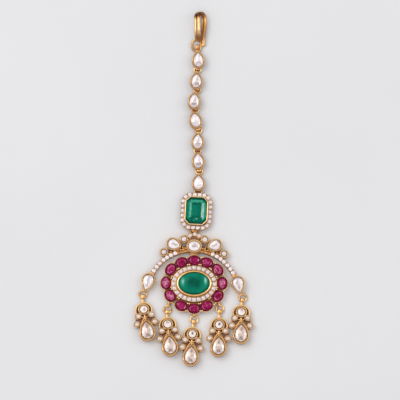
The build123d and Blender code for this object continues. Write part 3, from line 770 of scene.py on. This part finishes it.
chain_stone = inset_line(chain_cup, CHAIN_RIM + 0.06)
for number, link in enumerate(CHAIN, 1):
    node = f"chain_stone_{number}"
    at = seat(node, chain_stone, link.turn)
    inside_tip = place(at, [(0, CHAIN_L / 2 - 1.5)])[0][:2]
    piece = Piece(f"chain_link_{number}")
    bezel(piece, at, chain_cup, CHAIN_RIM + 0.15, CHAIN_TOP, 1.9, base=1.35, lip=0.5, foot=0.5, wall=0.2, full=0.8, deep=1.3, dull=0.28, sink=0.6)
    if number == 1:
        start = layout(1.01 + 0.35, 57.25 + 0.35)
        upright_eye(piece, start, inside_tip, 1.6, z=0.85, hole=1.0, waist=0.12, age=0.4)
    else:
        above = CHAIN[number - 2]
        here = layout(above.ring_x, above.ring_y)
        upright_eye(piece, ahead(here, inside_tip, 0.3), ahead(here, inside_tip, 2.1), 1.0)
    ring = layout(link.ring_x, link.ring_y)
    flat_ring(piece, *ring, CHAIN_RING_R, age=0.22)
    tab(piece, ring, (at.x, at.y), CHAIN_RING_R + 0.2, 0.18, 1.7, 0.34)
    piece.make([GOLD], "gold", f"chain_setting_{number}")
    finish_stone(node, at, chain_stone, 1.95, 2.74, rose_levels(1.4, 2.74, 3.42), 12, CLEAR, "clear_stone", keel=(0.9, 3.46, -0.35), paint=short_pear(*CHAIN_TONES[number - 1]), side=0.6)

# ------------------------------------------------------------------ crest
STONE_W, STONE_L, STONE_CORNER, CREST_RIM = 8.1, 10.35, 1.6, 0.48
emerald_line = octagon_line(STONE_W, STONE_L, STONE_CORNER)
crest_at = seat("crest_emerald", octagon_line(STONE_W - 0.12, STONE_L - 0.12, STONE_CORNER), CREST_TURN)
crest = Piece("crest_frame")
halo = box_line(12.1, 14.65, 4.0, 10)
crest.raise_up(
    crest_at,
    halo,
    (
        (0.25, 1.3, 0.6), (0.06, 1.36, 0.55), (0.0, 1.5, 0.5), (0.0, 1.95, 0.42), (0.03, 2.1, 0.4), (0.09, 2.17, 0.42),
        (0.16, 2.14, 0.45), (0.24, 2.08, 0.5), (0.35, 2.05, 0.5), (1.55, 2.05, 0.5), (1.65, 2.1, 0.8), (2.2, 2.1, 0.9),
    ),
)
crest_bezel = octagon_line(STONE_W + 2 * CREST_RIM, STONE_L + 2 * CREST_RIM, STONE_CORNER + CREST_RIM * 0.586, 1.2, 4)
crest.raise_up(
    crest_at,
    crest_bezel,
    (
        (0.2, 0.0, 0.6), (0.04, 0.1, 0.6), (0.0, 0.3, 0.5), (0.0, 2.9, 0.7), (0.0, 3.4, 0.45), (0.0, 3.7, 0.3), (0.04, 3.88, 0.16),
        (0.14, 3.98, 0.08), (0.25, 4.0, 0.06), (0.36, 3.96, 0.16), (0.45, 3.88, 0.4), (0.52, 3.75, 0.7), (0.56, 3.3, 0.9),
    ),
)
pave = Piece("crest_pave_stones")
track = halo(0.86)
xy, heading = spaced(track, 22, 0.0)
# the first stone stands at the middle of the right side
middle_right = int(np.argmin(np.abs(spaced(track, 2200)[0] - (6.05 - 0.86, 0.0)).sum(1)))
xy, heading = spaced(track, 22, middle_right / 2200)
world = place(crest_at, xy)
turns = heading + math.radians(CREST_TURN)
paved(pave, world[:, :2], turns, 2.3, 0.73, 0.8, 3.4, (0.7, 1.0))
bead_rows(crest, world[:, :2], turns, 0.965, 2.2, 0.19, (-0.55, 0.0, 0.5), 0.38)
pave.make([CLEAR], "clear_stone", angle=5.0)
top_ring = layout(CHAIN[-1].ring_x, CHAIN[-1].ring_y)
crest_middle = (crest_at.x, crest_at.y)
upright_eye(crest, ahead(top_ring, crest_middle, 0.3), ahead(top_ring, crest_middle, 2.2), 1.0)
low_ring = layout(*CREST_RING)
flat_ring(crest, *low_ring, age=0.5)
tab(crest, low_ring, crest_middle, 1.45, 0.32, 2.4, 1.3)
crest.make([GOLD], "gold", "crest_setting")

emerald = Piece("crest_emerald_cut")
emerald_outline = octagon_line(STONE_W - 0.12, STONE_L - 0.12, STONE_CORNER)


def split_octagon(inset, long=8, corner=2):
    """Octagon with each of its edges cut into short ones, so that facets can carry flashes shorter than themselves."""
    p = emerald_outline(inset)
    out = []
    for k in range(8):
        q = p[(k + 1) % 8]
        steps = corner if k % 2 == 0 else long
        out += [p[k] + (q - p[k]) * j / steps for j in range(steps)]
    return np.array(out)


def emerald_tone(x, y, inset):
    """Tone of a step-cut stone at a place of its face, in mm from its middle: painted reflections and shade, with pale
    streaks on the steps and dark corners and top edge.
    """
    corner = max(0.0, abs(x) / 4.0 + abs(y) / 5.1 - 1.42)
    on_side = abs(x) / 4.0 > abs(y) / 5.1
    if inset < 0.95:  # bright first step, dark at its corners and along the top
        tone = 0.51 - 1.0 * corner + (0.16 if on_side and x > 0 and abs(y) < 3 else 0.0)
        return tone - 0.34 if y > 4.1 else tone - (0.2 if y < -4.1 else 0.0)
    if inset < 2.1:
        if on_side and x > 0:
            return 0.95 if -3.5 < y < 3.0 else 0.5
        if on_side:
            return (0.86 if inset > 1.3 else 0.68) if -3.1 < y < 3.0 else 0.5
        if y > 0:
            return 0.74 if abs(x) < 2.3 else 0.3
        return 0.3 + 0.5 * float(RNG.random()) ** 2 + (0.3 if abs(x - 0.4) < 0.35 and inset > 1.6 else 0.0)
    if y > 2.0:
        return 0.32
    if y < -2.2:
        return 0.38
    return 0.475 - 0.03 * x


levels = ((0.0, 1.1), (0.0, 3.7), (0.3, 3.98), (0.6, 4.14), (0.98, 4.3), (1.35, 4.44), (1.7, 4.52), (2.05, 4.56), (2.4, 4.56))
outlines = [split_octagon(i) for i, _ in levels]
heights = [z for _, z in levels]
insets = [i for i, _ in levels]
for share in (0.75, 0.5, 0.25):
    outlines.append(outlines[8] * share)
    heights.append(4.56)
    insets.append(4.0 - 1.6 * share)
count = len(outlines[0])
faces, tone = [tuple(range(count))[::-1]], [0.2]
flat = np.vstack(outlines)
for k in range(len(outlines) - 1):
    for e in range(count):
        a, b = k * count, (k + 1) * count
        faces.append((a + e, a + (e + 1) % count, b + (e + 1) % count, b + e))
        x, y = flat[list(faces[-1])].mean(0)
        shade = emerald_tone(x, y, (insets[k] + insets[k + 1]) / 2) + RNG.uniform(-0.06, 0.06)
        tone.append(0.3 if k == 0 else float(np.clip(shade, 0, 1)))
faces.append(tuple(range((len(outlines) - 1) * count, len(outlines) * count)))
tone.append(0.52)
emerald.add(np.vstack([place(crest_at, ring, z) for ring, z in zip(outlines, heights)]), faces, False, 0.0, tone)
emerald.make([GREEN], "green_stone", "crest_emerald", angle=5.0)

# ------------------------------------------------------------------ cluster
CAB_A, CAB_B, CAB_RIM, CAB_RISE = 5.95, 4.25, 1.0, 0.09
cab_at = seat("cluster_emerald", oval_line(CAB_A - 0.06, CAB_B - 0.06), CLUSTER_TURN)
cluster_at = inner(cab_at, 0, -CAB_RISE)
RUBY_A, RUBY_B, RUBY_MARGIN = 2.36, 1.92, 0.38
ruby_seats = [seat(f"ruby_{n:02d}", oval_line(RUBY_A, RUBY_B), turn + CLUSTER_TURN) for n, turn in enumerate(RUBY_TURNS, 1)]
centres = np.array([(s.x, s.y) for s in ruby_seats])
back = np.radians(-CLUSTER_TURN)
local = centres - (cluster_at.x, cluster_at.y)
local = np.c_[local[:, 0] * math.cos(back) - local[:, 1] * math.sin(back), local[:, 0] * math.sin(back) + local[:, 1] * math.cos(back)]


def crossing(theta, cx, cy, a, b, turn):
    """Furthest distance along rays from the origin at which they leave an ellipse."""
    f = math.radians(turn)
    c, s = math.cos(f), math.sin(f)
    ox, oy = -(cx * c + cy * s) / a, (cx * s - cy * c) / b
    ux, uy = (np.sin(theta) * c + np.cos(theta) * s) / a, (-np.sin(theta) * s + np.cos(theta) * c) / b
    qa, qb, qc = ux**2 + uy**2, 2 * (ox * ux + oy * uy), ox**2 + oy**2 - 1
    root = qb**2 - 4 * qa * qc
    return np.where(root > 0, (-qb + np.sqrt(np.maximum(root, 0))) / (2 * qa), 0)


def gallery_line(inset, n=360, phase=0.0):
    """Scalloped outline of the gallery: one lobe round each ruby."""
    theta = 2 * np.pi * np.arange(n) / n
    r = crossing(theta, 0, 0, 10.9, 9.7, 0)
    for (x, y), turn in zip(local, RUBY_TURNS):
        r = np.maximum(r, crossing(theta, x, y, RUBY_A + RUBY_MARGIN, RUBY_B + RUBY_MARGIN, turn))
    return np.c_[(r - inset) * np.sin(theta), (r - inset) * np.cos(theta)]


pendant = Piece("pendant_frame")
pendant.raise_up(
    cluster_at,
    gallery_line,
    (
        (1.3, 0.0, 0.6), (1.0, 0.06, 0.6), (0.62, 0.45, 0.5), (0.34, 0.95, 0.35), (0.08, 1.5, 0.1), (0.0, 1.9, 0.0),
        (0.0, 2.08, -0.1), (0.08, 2.2, -0.1), (0.2, 2.2, -0.1), (0.28, 2.1, 0.1), (0.34, 1.8, 0.5), (0.45, 1.5, 0.75), (1.2, 1.42, 0.85),
    ),
    360,
)
# a collet under each ruby, and pairs of ball-tipped prongs between neighbours; the ball tips are painted lighter, a
# painted highlight
for s in ruby_seats:
    pendant.raise_up(s, oval_line(RUBY_A + 0.05, RUBY_B + 0.05), ((0.55, 1.35, 0.9), (0.2, 1.75, 0.7), (0.02, 2.15, 0.55), (0.12, 2.24, 0.5), (0.3, 2.15, 0.9), (0.6, 1.8, 1.0)), 40)
for k in range(12):
    a, b = local[k], local[(k + 1) % 12]
    along = (b - a) / np.linalg.norm(b - a)
    outward = np.array([-along[1], along[0]])
    for reach, lean in ((1.62, -0.1), (-1.5, 0.1)):
        for side in (-0.31, 0.31):
            foot = (a + b) / 2 + outward * reach + along * side
            head = foot + outward * lean + along * np.sign(side) * 0.06
            low, high = place(cluster_at, [foot, head])
            pendant.tube([(*low[:2], 1.2), (*low[:2], 2.0), (*high[:2], 2.62)], [0.24, 0.2, 0.2], 8, age=0.45)
            pendant.ball(*high[:2], 2.74, 0.38, age=-0.2)
# raised band for the paved stones, and the cabochon's bezel
pave_oval = oval_line(8.85, 7.15)
pendant.raise_up(
    cluster_at,
    pave_oval,
    (
        (0.15, 1.3, 0.8), (0.05, 1.6, 0.75), (0.0, 2.2, 0.6), (0.02, 2.42, 0.3), (0.1, 2.55, 0.15), (0.2, 2.58, 0.15), (0.3, 2.5, 0.3),
        (0.38, 2.4, 0.65), (1.5, 2.4, 0.65), (1.62, 2.46, 0.6), (1.8, 2.5, 0.7), (2.4, 2.4, 0.8),
    ),
    96,
)
pendant.raise_up(
    cab_at,
    oval_line(CAB_A + CAB_RIM, CAB_B + CAB_RIM),
    (
        (0.12, 2.2, 0.7), (0.06, 2.5, 0.5), (0.02, 2.75, 0.3), (0.08, 2.98, 0.05), (0.24, 3.16, 0.0), (0.44, 3.27, 0.0), (0.62, 3.3, 0.0),
        (0.78, 3.26, 0.05), (0.9, 3.14, 0.25), (0.99, 2.9, 0.6), (1.02, 2.4, 0.8),
    ),
    96,
)
pendant.age[-1] = pendant.age[-1] + 0.34 * np.clip((np.abs(pendant.co[-1][:, 1] - cab_at.y) / CAB_B - 0.35) / 0.6, 0, 1)
pave = Piece("band_pave_stones")
xy, heading = spaced(oval_line(7.92, 6.24)(0.0, 720), 24)
world, turns = place(cluster_at, xy), heading + math.radians(CLUSTER_TURN)
paved(pave, world[:, :2], turns, 2.52, 0.8, 0.86, 2.6)
bead_rows(pendant, world[:, :2], turns, 0.95, 2.5, 0.18, (-0.56, 0.56), 0.55)
pave.make([CLEAR], "clear_stone", angle=5.0)

cab = Piece("cluster_emerald_cut")
cab_profile = [(0.0, 1.7), (0.0, 3.05)] + [(math.sin(f), 3.1 + 1.98 * math.cos(f)) for f in np.radians(np.linspace(88, 2, 30))]
rings = []
for k, (share, z) in enumerate(cab_profile):
    scale = 1.0 if k < 2 else share
    rings.append(place(cab_at, oval_line(CAB_A - 0.06, CAB_B - 0.06)(0.0, 120) * scale, z))
cab.skin(rings)
# painted reflections on the cabochon: a darker middle, paler ends and a glint near either end
cab_tone = []
for face in cab.faces:
    middle = np.vstack(cab.co)[list(face)].mean(0)
    x = (middle[0] - cab_at.x) / CAB_A
    y = (middle[1] - cab_at.y) / CAB_B
    d = math.hypot(x, y)
    body = 0.3 + 0.28 * min(1.0, max(0.0, (d - 0.3) / 0.45)) - 0.14 * max(0.0, d - 0.9) / 0.1
    glint = math.exp(-(((x - 0.74) / 0.1) ** 2) - ((y - 0.2) / 0.34) ** 2) + 0.9 * math.exp(-(((x + 0.74) / 0.12) ** 2) - ((y - 0.12) / 0.36) ** 2)
    streak = 0.05 * math.sin(9 * x + 2 * y) * math.sin(4 * y - 2 * x)
    cab_tone.append(body + streak + 0.42 * glint + 0.06 * abs(x))
cab.tone = cab_tone
cab.make([GREEN], "green_stone", "cluster_emerald", angle=60.0)



def ruby_tone(middle):
    """Painted light on a ruby: dark rim, raspberry crown with painted highlights on its side facets, and a table that
    is deeper or paler from stone to stone, the paler ones a painted reflection.
    """

    def paint(u, v):
        d = math.hypot(u, v)
        if d > 0.8:
            return 0.16 + 0.3 * float(RNG.random()) ** 2
        if abs(u) > 0.56 and abs(v) < 0.34:
            return 0.74
        return (middle if d < 0.5 else 0.55 * middle + 0.18) + RNG.uniform(-0.2, 0.22)

    return paint


RUBY_TABLES = (0.42, 0.56, 0.8, 0.74, 0.46, 0.38, 0.4, 0.5, 0.72, 0.68, 0.64, 0.44)
for n, (s, middle) in enumerate(zip(ruby_seats, RUBY_TABLES), 1):
    finish_stone(
        f"ruby_{n:02d}", s, cushion_line(RUBY_A, RUBY_B, 2.8), 1.6, 2.3, ((0.34, 2.58), (0.66, 2.78), (1.0, 2.9), (1.42, 2.95)), 14, RED, "red_stone",
        low=0.75, side=0.15, paint=ruby_tone(middle),
    )

# rings for the three middle drops, on short arms from the gallery
for link, r in zip(DROP_LINKS[1:4], (8, 6, 4)):
    ring = layout(link.ring_x, link.ring_y)
    flat_ring(pendant, *ring, 1.42, 0.4, 0.3, 0.1)
    arm = centres[r]
    reach = np.linalg.norm(arm - ring)
    path = [(*ahead(ring, arm, d), z) for d, z in ((1.35, 0.76), (1.7, 0.8), (reach * 0.5 + 0.9, 0.86), (reach - 0.6, 0.9))]
    pendant.tube(path, [0.42, 0.62, 0.66, 0.6], 10, age=0.4, flat=0.6)
    pendant.ball(*ahead(ring, arm, 1.62), 1.0, 0.52, 0.8, age=0.2)

# ------------------------------------------------------------------ arch
OVAL_A, OVAL_B, OVAL_RIM = 3.06, 2.7, 0.7
oval_cup = oval_line(OVAL_A, OVAL_B)
arch_at = seat("arch_oval_stone", inset_line(oval_cup, OVAL_RIM + 0.06), ARCH_TURN)
R = ARCH_R
# grooved band under the paved stones, and a plainer, browner one on the crown
for middle in (-43.2, 43.2):
    band(
        pendant, arch_at, ARCH_CENTRE, 19.9,
        (
            (R - 0.85, 0.15, 0.7), (R - 0.85, 1.6, 0.5), (R - 0.82, 1.78, 0.4), (R - 0.76, 1.85, 0.35), (R - 0.68, 1.82, 0.5), (R - 0.6, 1.75, 0.65),
            (R + 0.6, 1.75, 0.65), (R + 0.68, 1.82, 0.5), (R + 0.76, 1.85, 0.35), (R + 0.82, 1.78, 0.4), (R + 0.85, 1.6, 0.5), (R + 0.85, 0.15, 0.7),
            (R + 0.7, 0.0, 0.6), (R - 0.7, 0.0, 0.6),
        ),
        steps=44, turn=middle,
    )
band(
    pendant, arch_at, ARCH_CENTRE, 23.4,
    (
        (R - 0.8, 0.15, 0.6), (R - 0.84, 1.2, 0.55), (R - 0.8, 1.5, 0.45), (R - 0.7, 1.62, 0.4), (R - 0.5, 1.6, 0.6), (R + 0.5, 1.6, 0.75),
        (R + 0.75, 1.5, 0.7), (R + 0.85, 1.2, 0.6), (R + 0.85, 0.15, 0.6), (R + 0.7, 0.0, 0.6), (R - 0.7, 0.0, 0.6),
    ),
    steps=44,
)
# plate behind the arch, painted purplish brown as shade
plate = R + 0.65
band(
    pendant, arch_at, ARCH_CENTRE, 35.5,
    ((plate - 1.5, 0.12, 0.7), (plate - 1.5, 0.9, 0.8), (plate - 1.4, 1.0, 1.0), (plate + 1.4, 1.0, 1.0), (plate + 1.5, 0.9, 0.8), (plate + 1.5, 0.12, 0.6), (plate + 1.4, 0.0, 0.6), (plate - 1.4, 0.0, 0.6)),
    slot=1,
)
# leaves in low relief that fill the crown between its settings
for side in (-1, 1):
    for angle, r, turn, size in (
        (11.2, R + 1.0, -62, 1.1), (13.6, R + 1.6, -20, 1.0), (14.2, R + 0.45, -100, 1.05), (17.6, R + 0.8, -70, 1.1), (21.0, R + 0.75, -95, 1.0),
        (31.4, R + 1.35, -30, 1.0), (28.6, R + 1.2, -95, 0.9), (24.3, R + 1.0, -75, 0.9),
    ):
        a = math.radians(angle) * side
        leaf_at = inner(arch_at, r * math.sin(a), ARCH_CENTRE + r * math.cos(a), -math.degrees(a) + side * turn)
        pendant.raise_up(
            leaf_at, pear_line(0.95 * size, 1.75 * size, 20.0),
            ((0.05, 0.9, 0.9), (0.0, 1.4, 0.8), (0.05, 1.7, 0.65), (0.16 * size, 1.86, 0.5), (0.36 * size, 1.98, 0.34)), 20,
        )
# twisted wire on the crown's lower edge, either side of the oval setting; each strand is painted darker where it dips
# low, as shade
for side in (-1, 1):
    angle = np.radians(np.linspace(6.5, 22.5, 70)) * side
    phase = np.linspace(0, 2 * np.pi * 4.5, 70)
    for strand in (0, np.pi):
        r = R - 0.4 + 0.34 * np.cos(phase + strand)
        z = 1.85 + 0.24 * np.sin(phase + strand)
        path = place(arch_at, np.c_[r * np.sin(angle), ARCH_CENTRE + r * np.cos(angle), z])
        pendant.tube(path, 0.2, 8, age=0.3 + 0.25 * (np.sin(phase + strand) < 0))
# paved stones, seven on each side of the arch
pave = Piece("arch_pave_stones")
for side in (-1, 1):
    angle = np.radians([24.0, 29.7, 35.4, 40.9, 47.1, 52.9, 58.8]) * side
    xy = np.c_[R * np.sin(angle), ARCH_CENTRE + R * np.cos(angle)]
    world = place(arch_at, xy)
    turns = -angle + math.radians(ARCH_TURN)
    paved(pave, world[:, :2], turns, 2.0, 0.82, tones=(0.72, 1.0))
    between = np.radians([26.8, 32.5, 38.1, 44.0, 50.0, 55.8]) * side
    xy = np.c_[R * np.sin(between), ARCH_CENTRE + R * np.cos(between)]
    world = place(arch_at, xy)
    bead_rows(pendant, world[:, :2], -between + math.radians(ARCH_TURN), 0.0, 1.9, 0.2, (-0.55, 0.55), 0.4)

bezel(pendant, arch_at, oval_cup, OVAL_RIM, 3.0, 1.15)
finish_stone("arch_oval_stone", arch_at, inset_line(oval_cup, OVAL_RIM + 0.06), 1.2, 2.6, rose_levels(1.3, 2.6, 3.22), 12, CLEAR, "clear_stone", paint=small_round(0.0, 0.1, 0.5), side=0.6)

side_cup = pear_line(5.1, 6.1, 0.0)
end_cup = pear_line(5.45, 7.6, 8.0)
for side, name in ((-1, "left"), (1, "right")):
    for cup, turn, node in ((side_cup, 111.0, f"arch_pear_stone_{name}"), (end_cup, -163.7, f"end_pear_stone_{name}")):
        at = seat(node, inset_line(cup, 0.66), side * turn + ARCH_TURN)
        bezel(pendant, at, cup, 0.6, 2.8, 1.15, full=0.8, deep=0.8, dull=0.06)
        finish_stone(node, at, inset_line(cup, 0.66), 1.2, 2.4, rose_levels(1.35, 2.4, 3.0), 12, CLEAR, "clear_stone", keel=(0.85, 3.05, -0.3), paint=streaked_pear, side=0.6)
round_cup = oval_line(1.7, 1.7)
for name in ("inner_left", "inner_right", "outer_left", "outer_right"):
    at = seat(f"arch_round_stone_{name}", inset_line(round_cup, 0.66), ARCH_TURN)
    bezel(pendant, at, round_cup, 0.6, 2.4, 1.15, n=40, full=0.9, deep=0.4, dull=0.06)
    finish_stone(f"arch_round_stone_{name}", at, inset_line(round_cup, 0.66), 1.2, 2.15, ((0.22, 2.4), (0.5, 2.56)), 8, CLEAR, "clear_stone", tones=(0.6, 1.0), side=0.6)

# three small settings on the crown, on a thin plate painted purplish brown as shade
crown = corner_line([(1.9, 4.55), (3.9, 3.05), (2.2, 1.4), (-2.2, 1.4), (-3.9, 3.05), (-1.9, 4.55), (0, 5.15)], 0.3, 3)
pendant.raise_up(arch_at, crown, ((0.1, 1.35, 0.7), (0.0, 1.42, 0.7), (0.0, 1.78, 0.65), (0.08, 1.85, 0.8)), slot=1)
for side in (-1, 1):
    for x, y, turn, size in ((0.72, 3.45, -40, 0.8), (1.75, 3.0, -75, 0.9), (2.75, 3.25, -30, 0.85), (2.55, 2.35, -115, 0.8)):
        pendant.raise_up(
            inner(arch_at, side * x, y, side * turn), pear_line(0.75 * size, 1.5 * size, 20.0),
            ((0.05, 1.7, 0.9), (0.0, 1.95, 0.7), (0.05, 2.12, 0.5), (0.14 * size, 2.22, 0.35), (0.28 * size, 2.3, 0.2)), 20,
        )
bead_cup = oval_line(0.98, 0.98)
for x, y in ((-1.76, 4.11), (0.06, 4.71), (1.76, 4.11)):
    at = inner(arch_at, x, y)
    pendant.raise_up(at, bead_cup, ((0.1, 1.35, 0.6), (0.0, 1.5, 0.5), (0.0, 2.2, 0.3), (0.05, 2.4, 0.1), (0.13, 2.48, 0.05), (0.22, 2.42, 0.3), (0.28, 2.25, 0.9)), 24)
    paved(pave, [(at.x, at.y)], [0.0], 2.42, 0.74)
    for corner in (45, 135, 225, 315):
        a = math.radians(corner)
        pendant.ball(at.x + 0.76 * math.cos(a), at.y + 0.76 * math.sin(a), 2.46, 0.16, rows=5, cols=8, age=0.1)
pave.make([CLEAR], "clear_stone", angle=5.0)

# bridge to the cluster, collars and rings at the arch's ends, eye that hangs it from the crest
bridge = layout(0.12 - 0.05, -25.95)
trapezoid = corner_line([(1.75, 1.1), (1.15, -1.1), (-1.15, -1.1), (-1.75, 1.1)], 0.2, 3)
pendant.raise_up(Frame(*bridge, 0.0), trapezoid, ((0.12, 0.0, 0.6), (0.0, 0.1, 0.5), (0.0, 1.3, 0.7), (0.1, 1.44, 0.6), (0.25, 1.5, 0.6)))
for side in (-1, 1):
    collar = inner(arch_at, side * 16.05, -11.25, side * -63.0)
    block(pendant, collar, 1.5, 2.0, 0.0, 2.0, 0.3, 1.2)
for link in (DROP_LINKS[0], DROP_LINKS[4]):
    flat_ring(pendant, *layout(link.ring_x, link.ring_y), 1.42, 0.4, 0.3, 0.1)
upright_eye(pendant, ahead(low_ring, (arch_at.x, arch_at.y), 0.5), ahead(low_ring, (arch_at.x, arch_at.y), 3.4), 1.2, age=0.8)
pendant.make([GOLD, PLATE_SHADE], "gold", "pendant_setting")

# ------------------------------------------------------------------ drops
ROUND_R, ROUND_RIM, PEAR_RIM, ACCENT_RIM = 2.24, 0.7, 0.82, 0.42
drop_round = oval_line(ROUND_R, ROUND_R)
drop_pear = pear_line(6.45, 8.6, 5.0)
accent = oval_line(1.42, 1.3)
HOOP_R, HOOP_WIRE, HOOP_Y, HOOP_TOP, PEAR_Y = 3.5, 0.75, -0.55, 2.0, -8.25
ROUND_SPOTS = ((0.2, -0.1, 0.45), (-0.1, 0.35, 0.15), (0.0, 0.3, 0.2), (0.05, 0.15, 0.1), (0.1, 0.45, 0.4))
for n, link in enumerate(DROP_LINKS, 1):
    at = seat(f"drop_round_stone_{n}", inset_line(drop_round, ROUND_RIM + 0.06), link.turn)
    piece = Piece(f"drop_frame_{n}")
    # back plate, and the wings below, painted dark between the settings as shade
    piece.raise_up(inner(at, 0, HOOP_Y), oval_line(HOOP_R - 0.2, HOOP_R - 0.2), ((0.15, 0.0, 0.6), (0.0, 0.1, 0.6), (0.0, 0.72, 0.8), (0.1, 0.8, 0.9)), 48, 1)
    wings = corner_line([(3.1, -1.2), (4.1, -5.2), (2.2, -7.6), (-2.2, -7.6), (-4.1, -5.2), (-3.1, -1.2)], 0.3, 3)
    piece.raise_up(at, wings, ((0.1, 0.0, 0.6), (0.0, 0.1, 0.7), (0.0, 0.68, 1.0), (0.1, 0.78, 1.0)), slot=1)
    r0, r1 = HOOP_R - HOOP_WIRE, HOOP_R
    band(
        piece, inner(at, 0, HOOP_Y), 0.0, 103.0,
        (
            (r0 + 0.1, 0.1, 0.5), (r0, 1.2, 0.5), (r0 + 0.03, 1.7, 0.6), (r0 + 0.16, 1.93, 0.6), (r0 + 0.34, 2.0, 0.2), (r1 - 0.2, 1.97, 0.04),
            (r1 - 0.06, 1.82, 0.08), (r1, 1.55, 0.2), (r1, 0.4, 0.45), (r1 - 0.1, 0.06, 0.55), (r1 - 0.25, 0.0, 0.6), (r0 + 0.2, 0.0, 0.6),
        ),
        steps=56,
    )
    for side in (-1, 1):
        wire = place(at, [(side * 2.55, -6.6, 1.5), (side * 1.9, -5.6, 1.6), (side * 1.3, -4.7, 1.68), (side * 0.65, -3.8, 1.75), (0.0, -2.95, 1.8)])
        piece.tube(wire, 0.25, 8, age=0.42)
    block(piece, inner(at, 0, -3.1), 0.72, 1.8, 0.7, 1.9, 0.22, 0.72)
    for side in (-1, 1):
        piece.ball(*place(at, [(side * 0.78, -2.92, 1.5)])[0], 0.34, 0.8, age=0.35)
    here = layout(link.ring_x, link.ring_y)
    upright_eye(piece, here, place(at, [(0, HOOP_Y + HOOP_R - 0.7)])[0][:2], 1.2, waist=0.35, age=0.22)
    piece.ball(*place(at, [(0, HOOP_Y + HOOP_R + 0.12, 0.8)])[0], 0.58, 0.95, age=0.25)
    bezel(piece, at, drop_round, ROUND_RIM, 2.6, 1.05, n=48, dull=0.06)
    bezel(piece, inner(at, 0, PEAR_Y), drop_pear, PEAR_RIM, 3.0, 1.05, n=72, wall=0.25, dull=0.1)
    gems = Piece(f"drop_accent_stones_{n}_cut")
    for x, y in ((-2.56, -2.33), (2.56, -2.33), (-3.5, -5.33), (3.5, -5.33)):
        here = inner(at, x, y)
        bezel(piece, here, accent, ACCENT_RIM, 2.2, 1.05, n=36, full=0.95, deep=0.35, dull=0.06)
        gems.cut(here, inset_line(accent, ACCENT_RIM + 0.06), 1.1, 1.98, ((0.22, 2.18), (0.5, 2.32)), 8, tones=(0.5, 1.0), side=0.5)
    piece.make([GOLD, PLATE_SHADE], "gold", f"drop_setting_{n}")
    gems.make([WARM], "clear_stone", f"drop_accent_stones_{n}", angle=5.0)
    finish_stone(f"drop_round_stone_{n}", at, inset_line(drop_round, ROUND_RIM + 0.06), 1.1, 2.3, ((0.3, 2.55), (0.65, 2.72), (1.05, 2.8)), 10, WARM, "clear_stone", paint=small_round(*ROUND_SPOTS[n - 1]), side=0.6)
    finish_stone(
        f"drop_pear_stone_{n}", inner(at, 0, PEAR_Y), inset_line(drop_pear, PEAR_RIM + 0.06), 1.1, 2.58, rose_levels(1.7, 2.58, 3.3), 12, WARM, "clear_stone",
        keel=(1.5, 3.37, -0.4), paint=long_pear, side=0.6,
    )


# ------------------------------------------------------------------ floor
def floor_material():
    material, tree, shader = new_material("pale_surface")
    mottle = noise(tree, 9.0, 4.0, 0.55)
    colour = ramp(tree, mottle, ((0.3, (0.716, 0.722, 0.735)), (0.7, (0.746, 0.749, 0.760))))
    tree.links.new(colour, shader.inputs["Base Color"])
    shader.inputs["Roughness"].default_value = 0.7
    shader.inputs["Specular IOR Level"].default_value = 0.2
    bump = tree.nodes.new("ShaderNodeBump")
    bump.inputs["Strength"].default_value = 0.08
    bump.inputs["Distance"].default_value = 0.0003
    tree.links.new(noise(tree, 900.0, 4.0), bump.inputs["Height"])
    tree.links.new(bump.outputs[0], shader.inputs["Normal"])
    return material


mesh = bpy.data.meshes.new("floor")
size = 6.0
mesh.from_pydata([(-size, -size, 0), (size, -size, 0), (size, size, 0), (-size, size, 0)], [], [(0, 1, 2, 3)])
mesh.materials.append(floor_material())
floor = bpy.data.objects.new("floor", mesh)
bpy.context.scene.collection.objects.link(floor)

# ------------------------------------------------------------------ light
world = bpy.data.worlds.new("studio")
bpy.context.scene.world = world
world.use_nodes = True
tree = world.node_tree
tree.nodes.clear()
out = tree.nodes.new("ShaderNodeOutputWorld")
sky = tree.nodes.new("ShaderNodeBackground")
tree.links.new(sky.outputs[0], out.inputs[0])
where = tree.nodes.new("ShaderNodeTexCoord")
split = tree.nodes.new("ShaderNodeSeparateXYZ")
tree.links.new(where.outputs["Generated"], split.inputs[0])
tree.links.new(
    ramp(tree, split.outputs["Z"], ((0.0, (0.20, 0.19, 0.19)), (0.2, (0.36, 0.35, 0.36)), (0.5, (0.84, 0.83, 0.84)), (1.0, (1.0, 0.99, 1.0)))),
    sky.inputs["Color"],
)
sky.inputs["Strength"].default_value = 0.95


def area(name, position, size, energy, colour=(1, 1, 1), target=(0.0, 0.0, 0.0)):
    light = bpy.data.lights.new(name, "AREA")
    light.shape, light.size, light.size_y = "RECTANGLE", size[0], size[1]
    light.energy, light.color = energy, colour
    obj = bpy.data.objects.new(name, light)
    obj.location = position
    obj.rotation_mode = "QUATERNION"
    obj.rotation_quaternion = (Vector(target) - Vector(position)).to_track_quat("-Z", "Y")
    obj.visible_camera = False
    bpy.context.scene.collection.objects.link(obj)
    return obj


area("key", (-0.48, 0.3, 0.8), (0.75, 0.6), 3.0, (1.0, 0.99, 0.97))
area("right_strip", (0.5, 0.1, 0.4), (0.10, 0.4), 0.35)

# ------------------------------------------------------------------ camera
cam = bpy.data.cameras.new("camera")
cam.sensor_width = 36.0
DISTANCE, WIDTH, ELEVATION = 1.6, 0.156, math.radians(80.0)
cam.lens = 36.0 * DISTANCE / WIDTH
camera = bpy.data.objects.new("camera", cam)
aim = Vector((*(layout(2.379, -4.237) * MM), 0.0))
towards = Vector((0.0, -math.cos(ELEVATION), math.sin(ELEVATION)))
camera.location = aim + towards * DISTANCE
camera.rotation_mode = "QUATERNION"
camera.rotation_quaternion = (-towards).to_track_quat("-Z", "Y")
cam.clip_start, cam.clip_end = 0.05, 30.0
bpy.context.scene.collection.objects.link(camera)
bpy.context.scene.camera = camera
bpy.context.scene.view_settings.view_transform = "Standard"

bpy.context.view_layer.update()
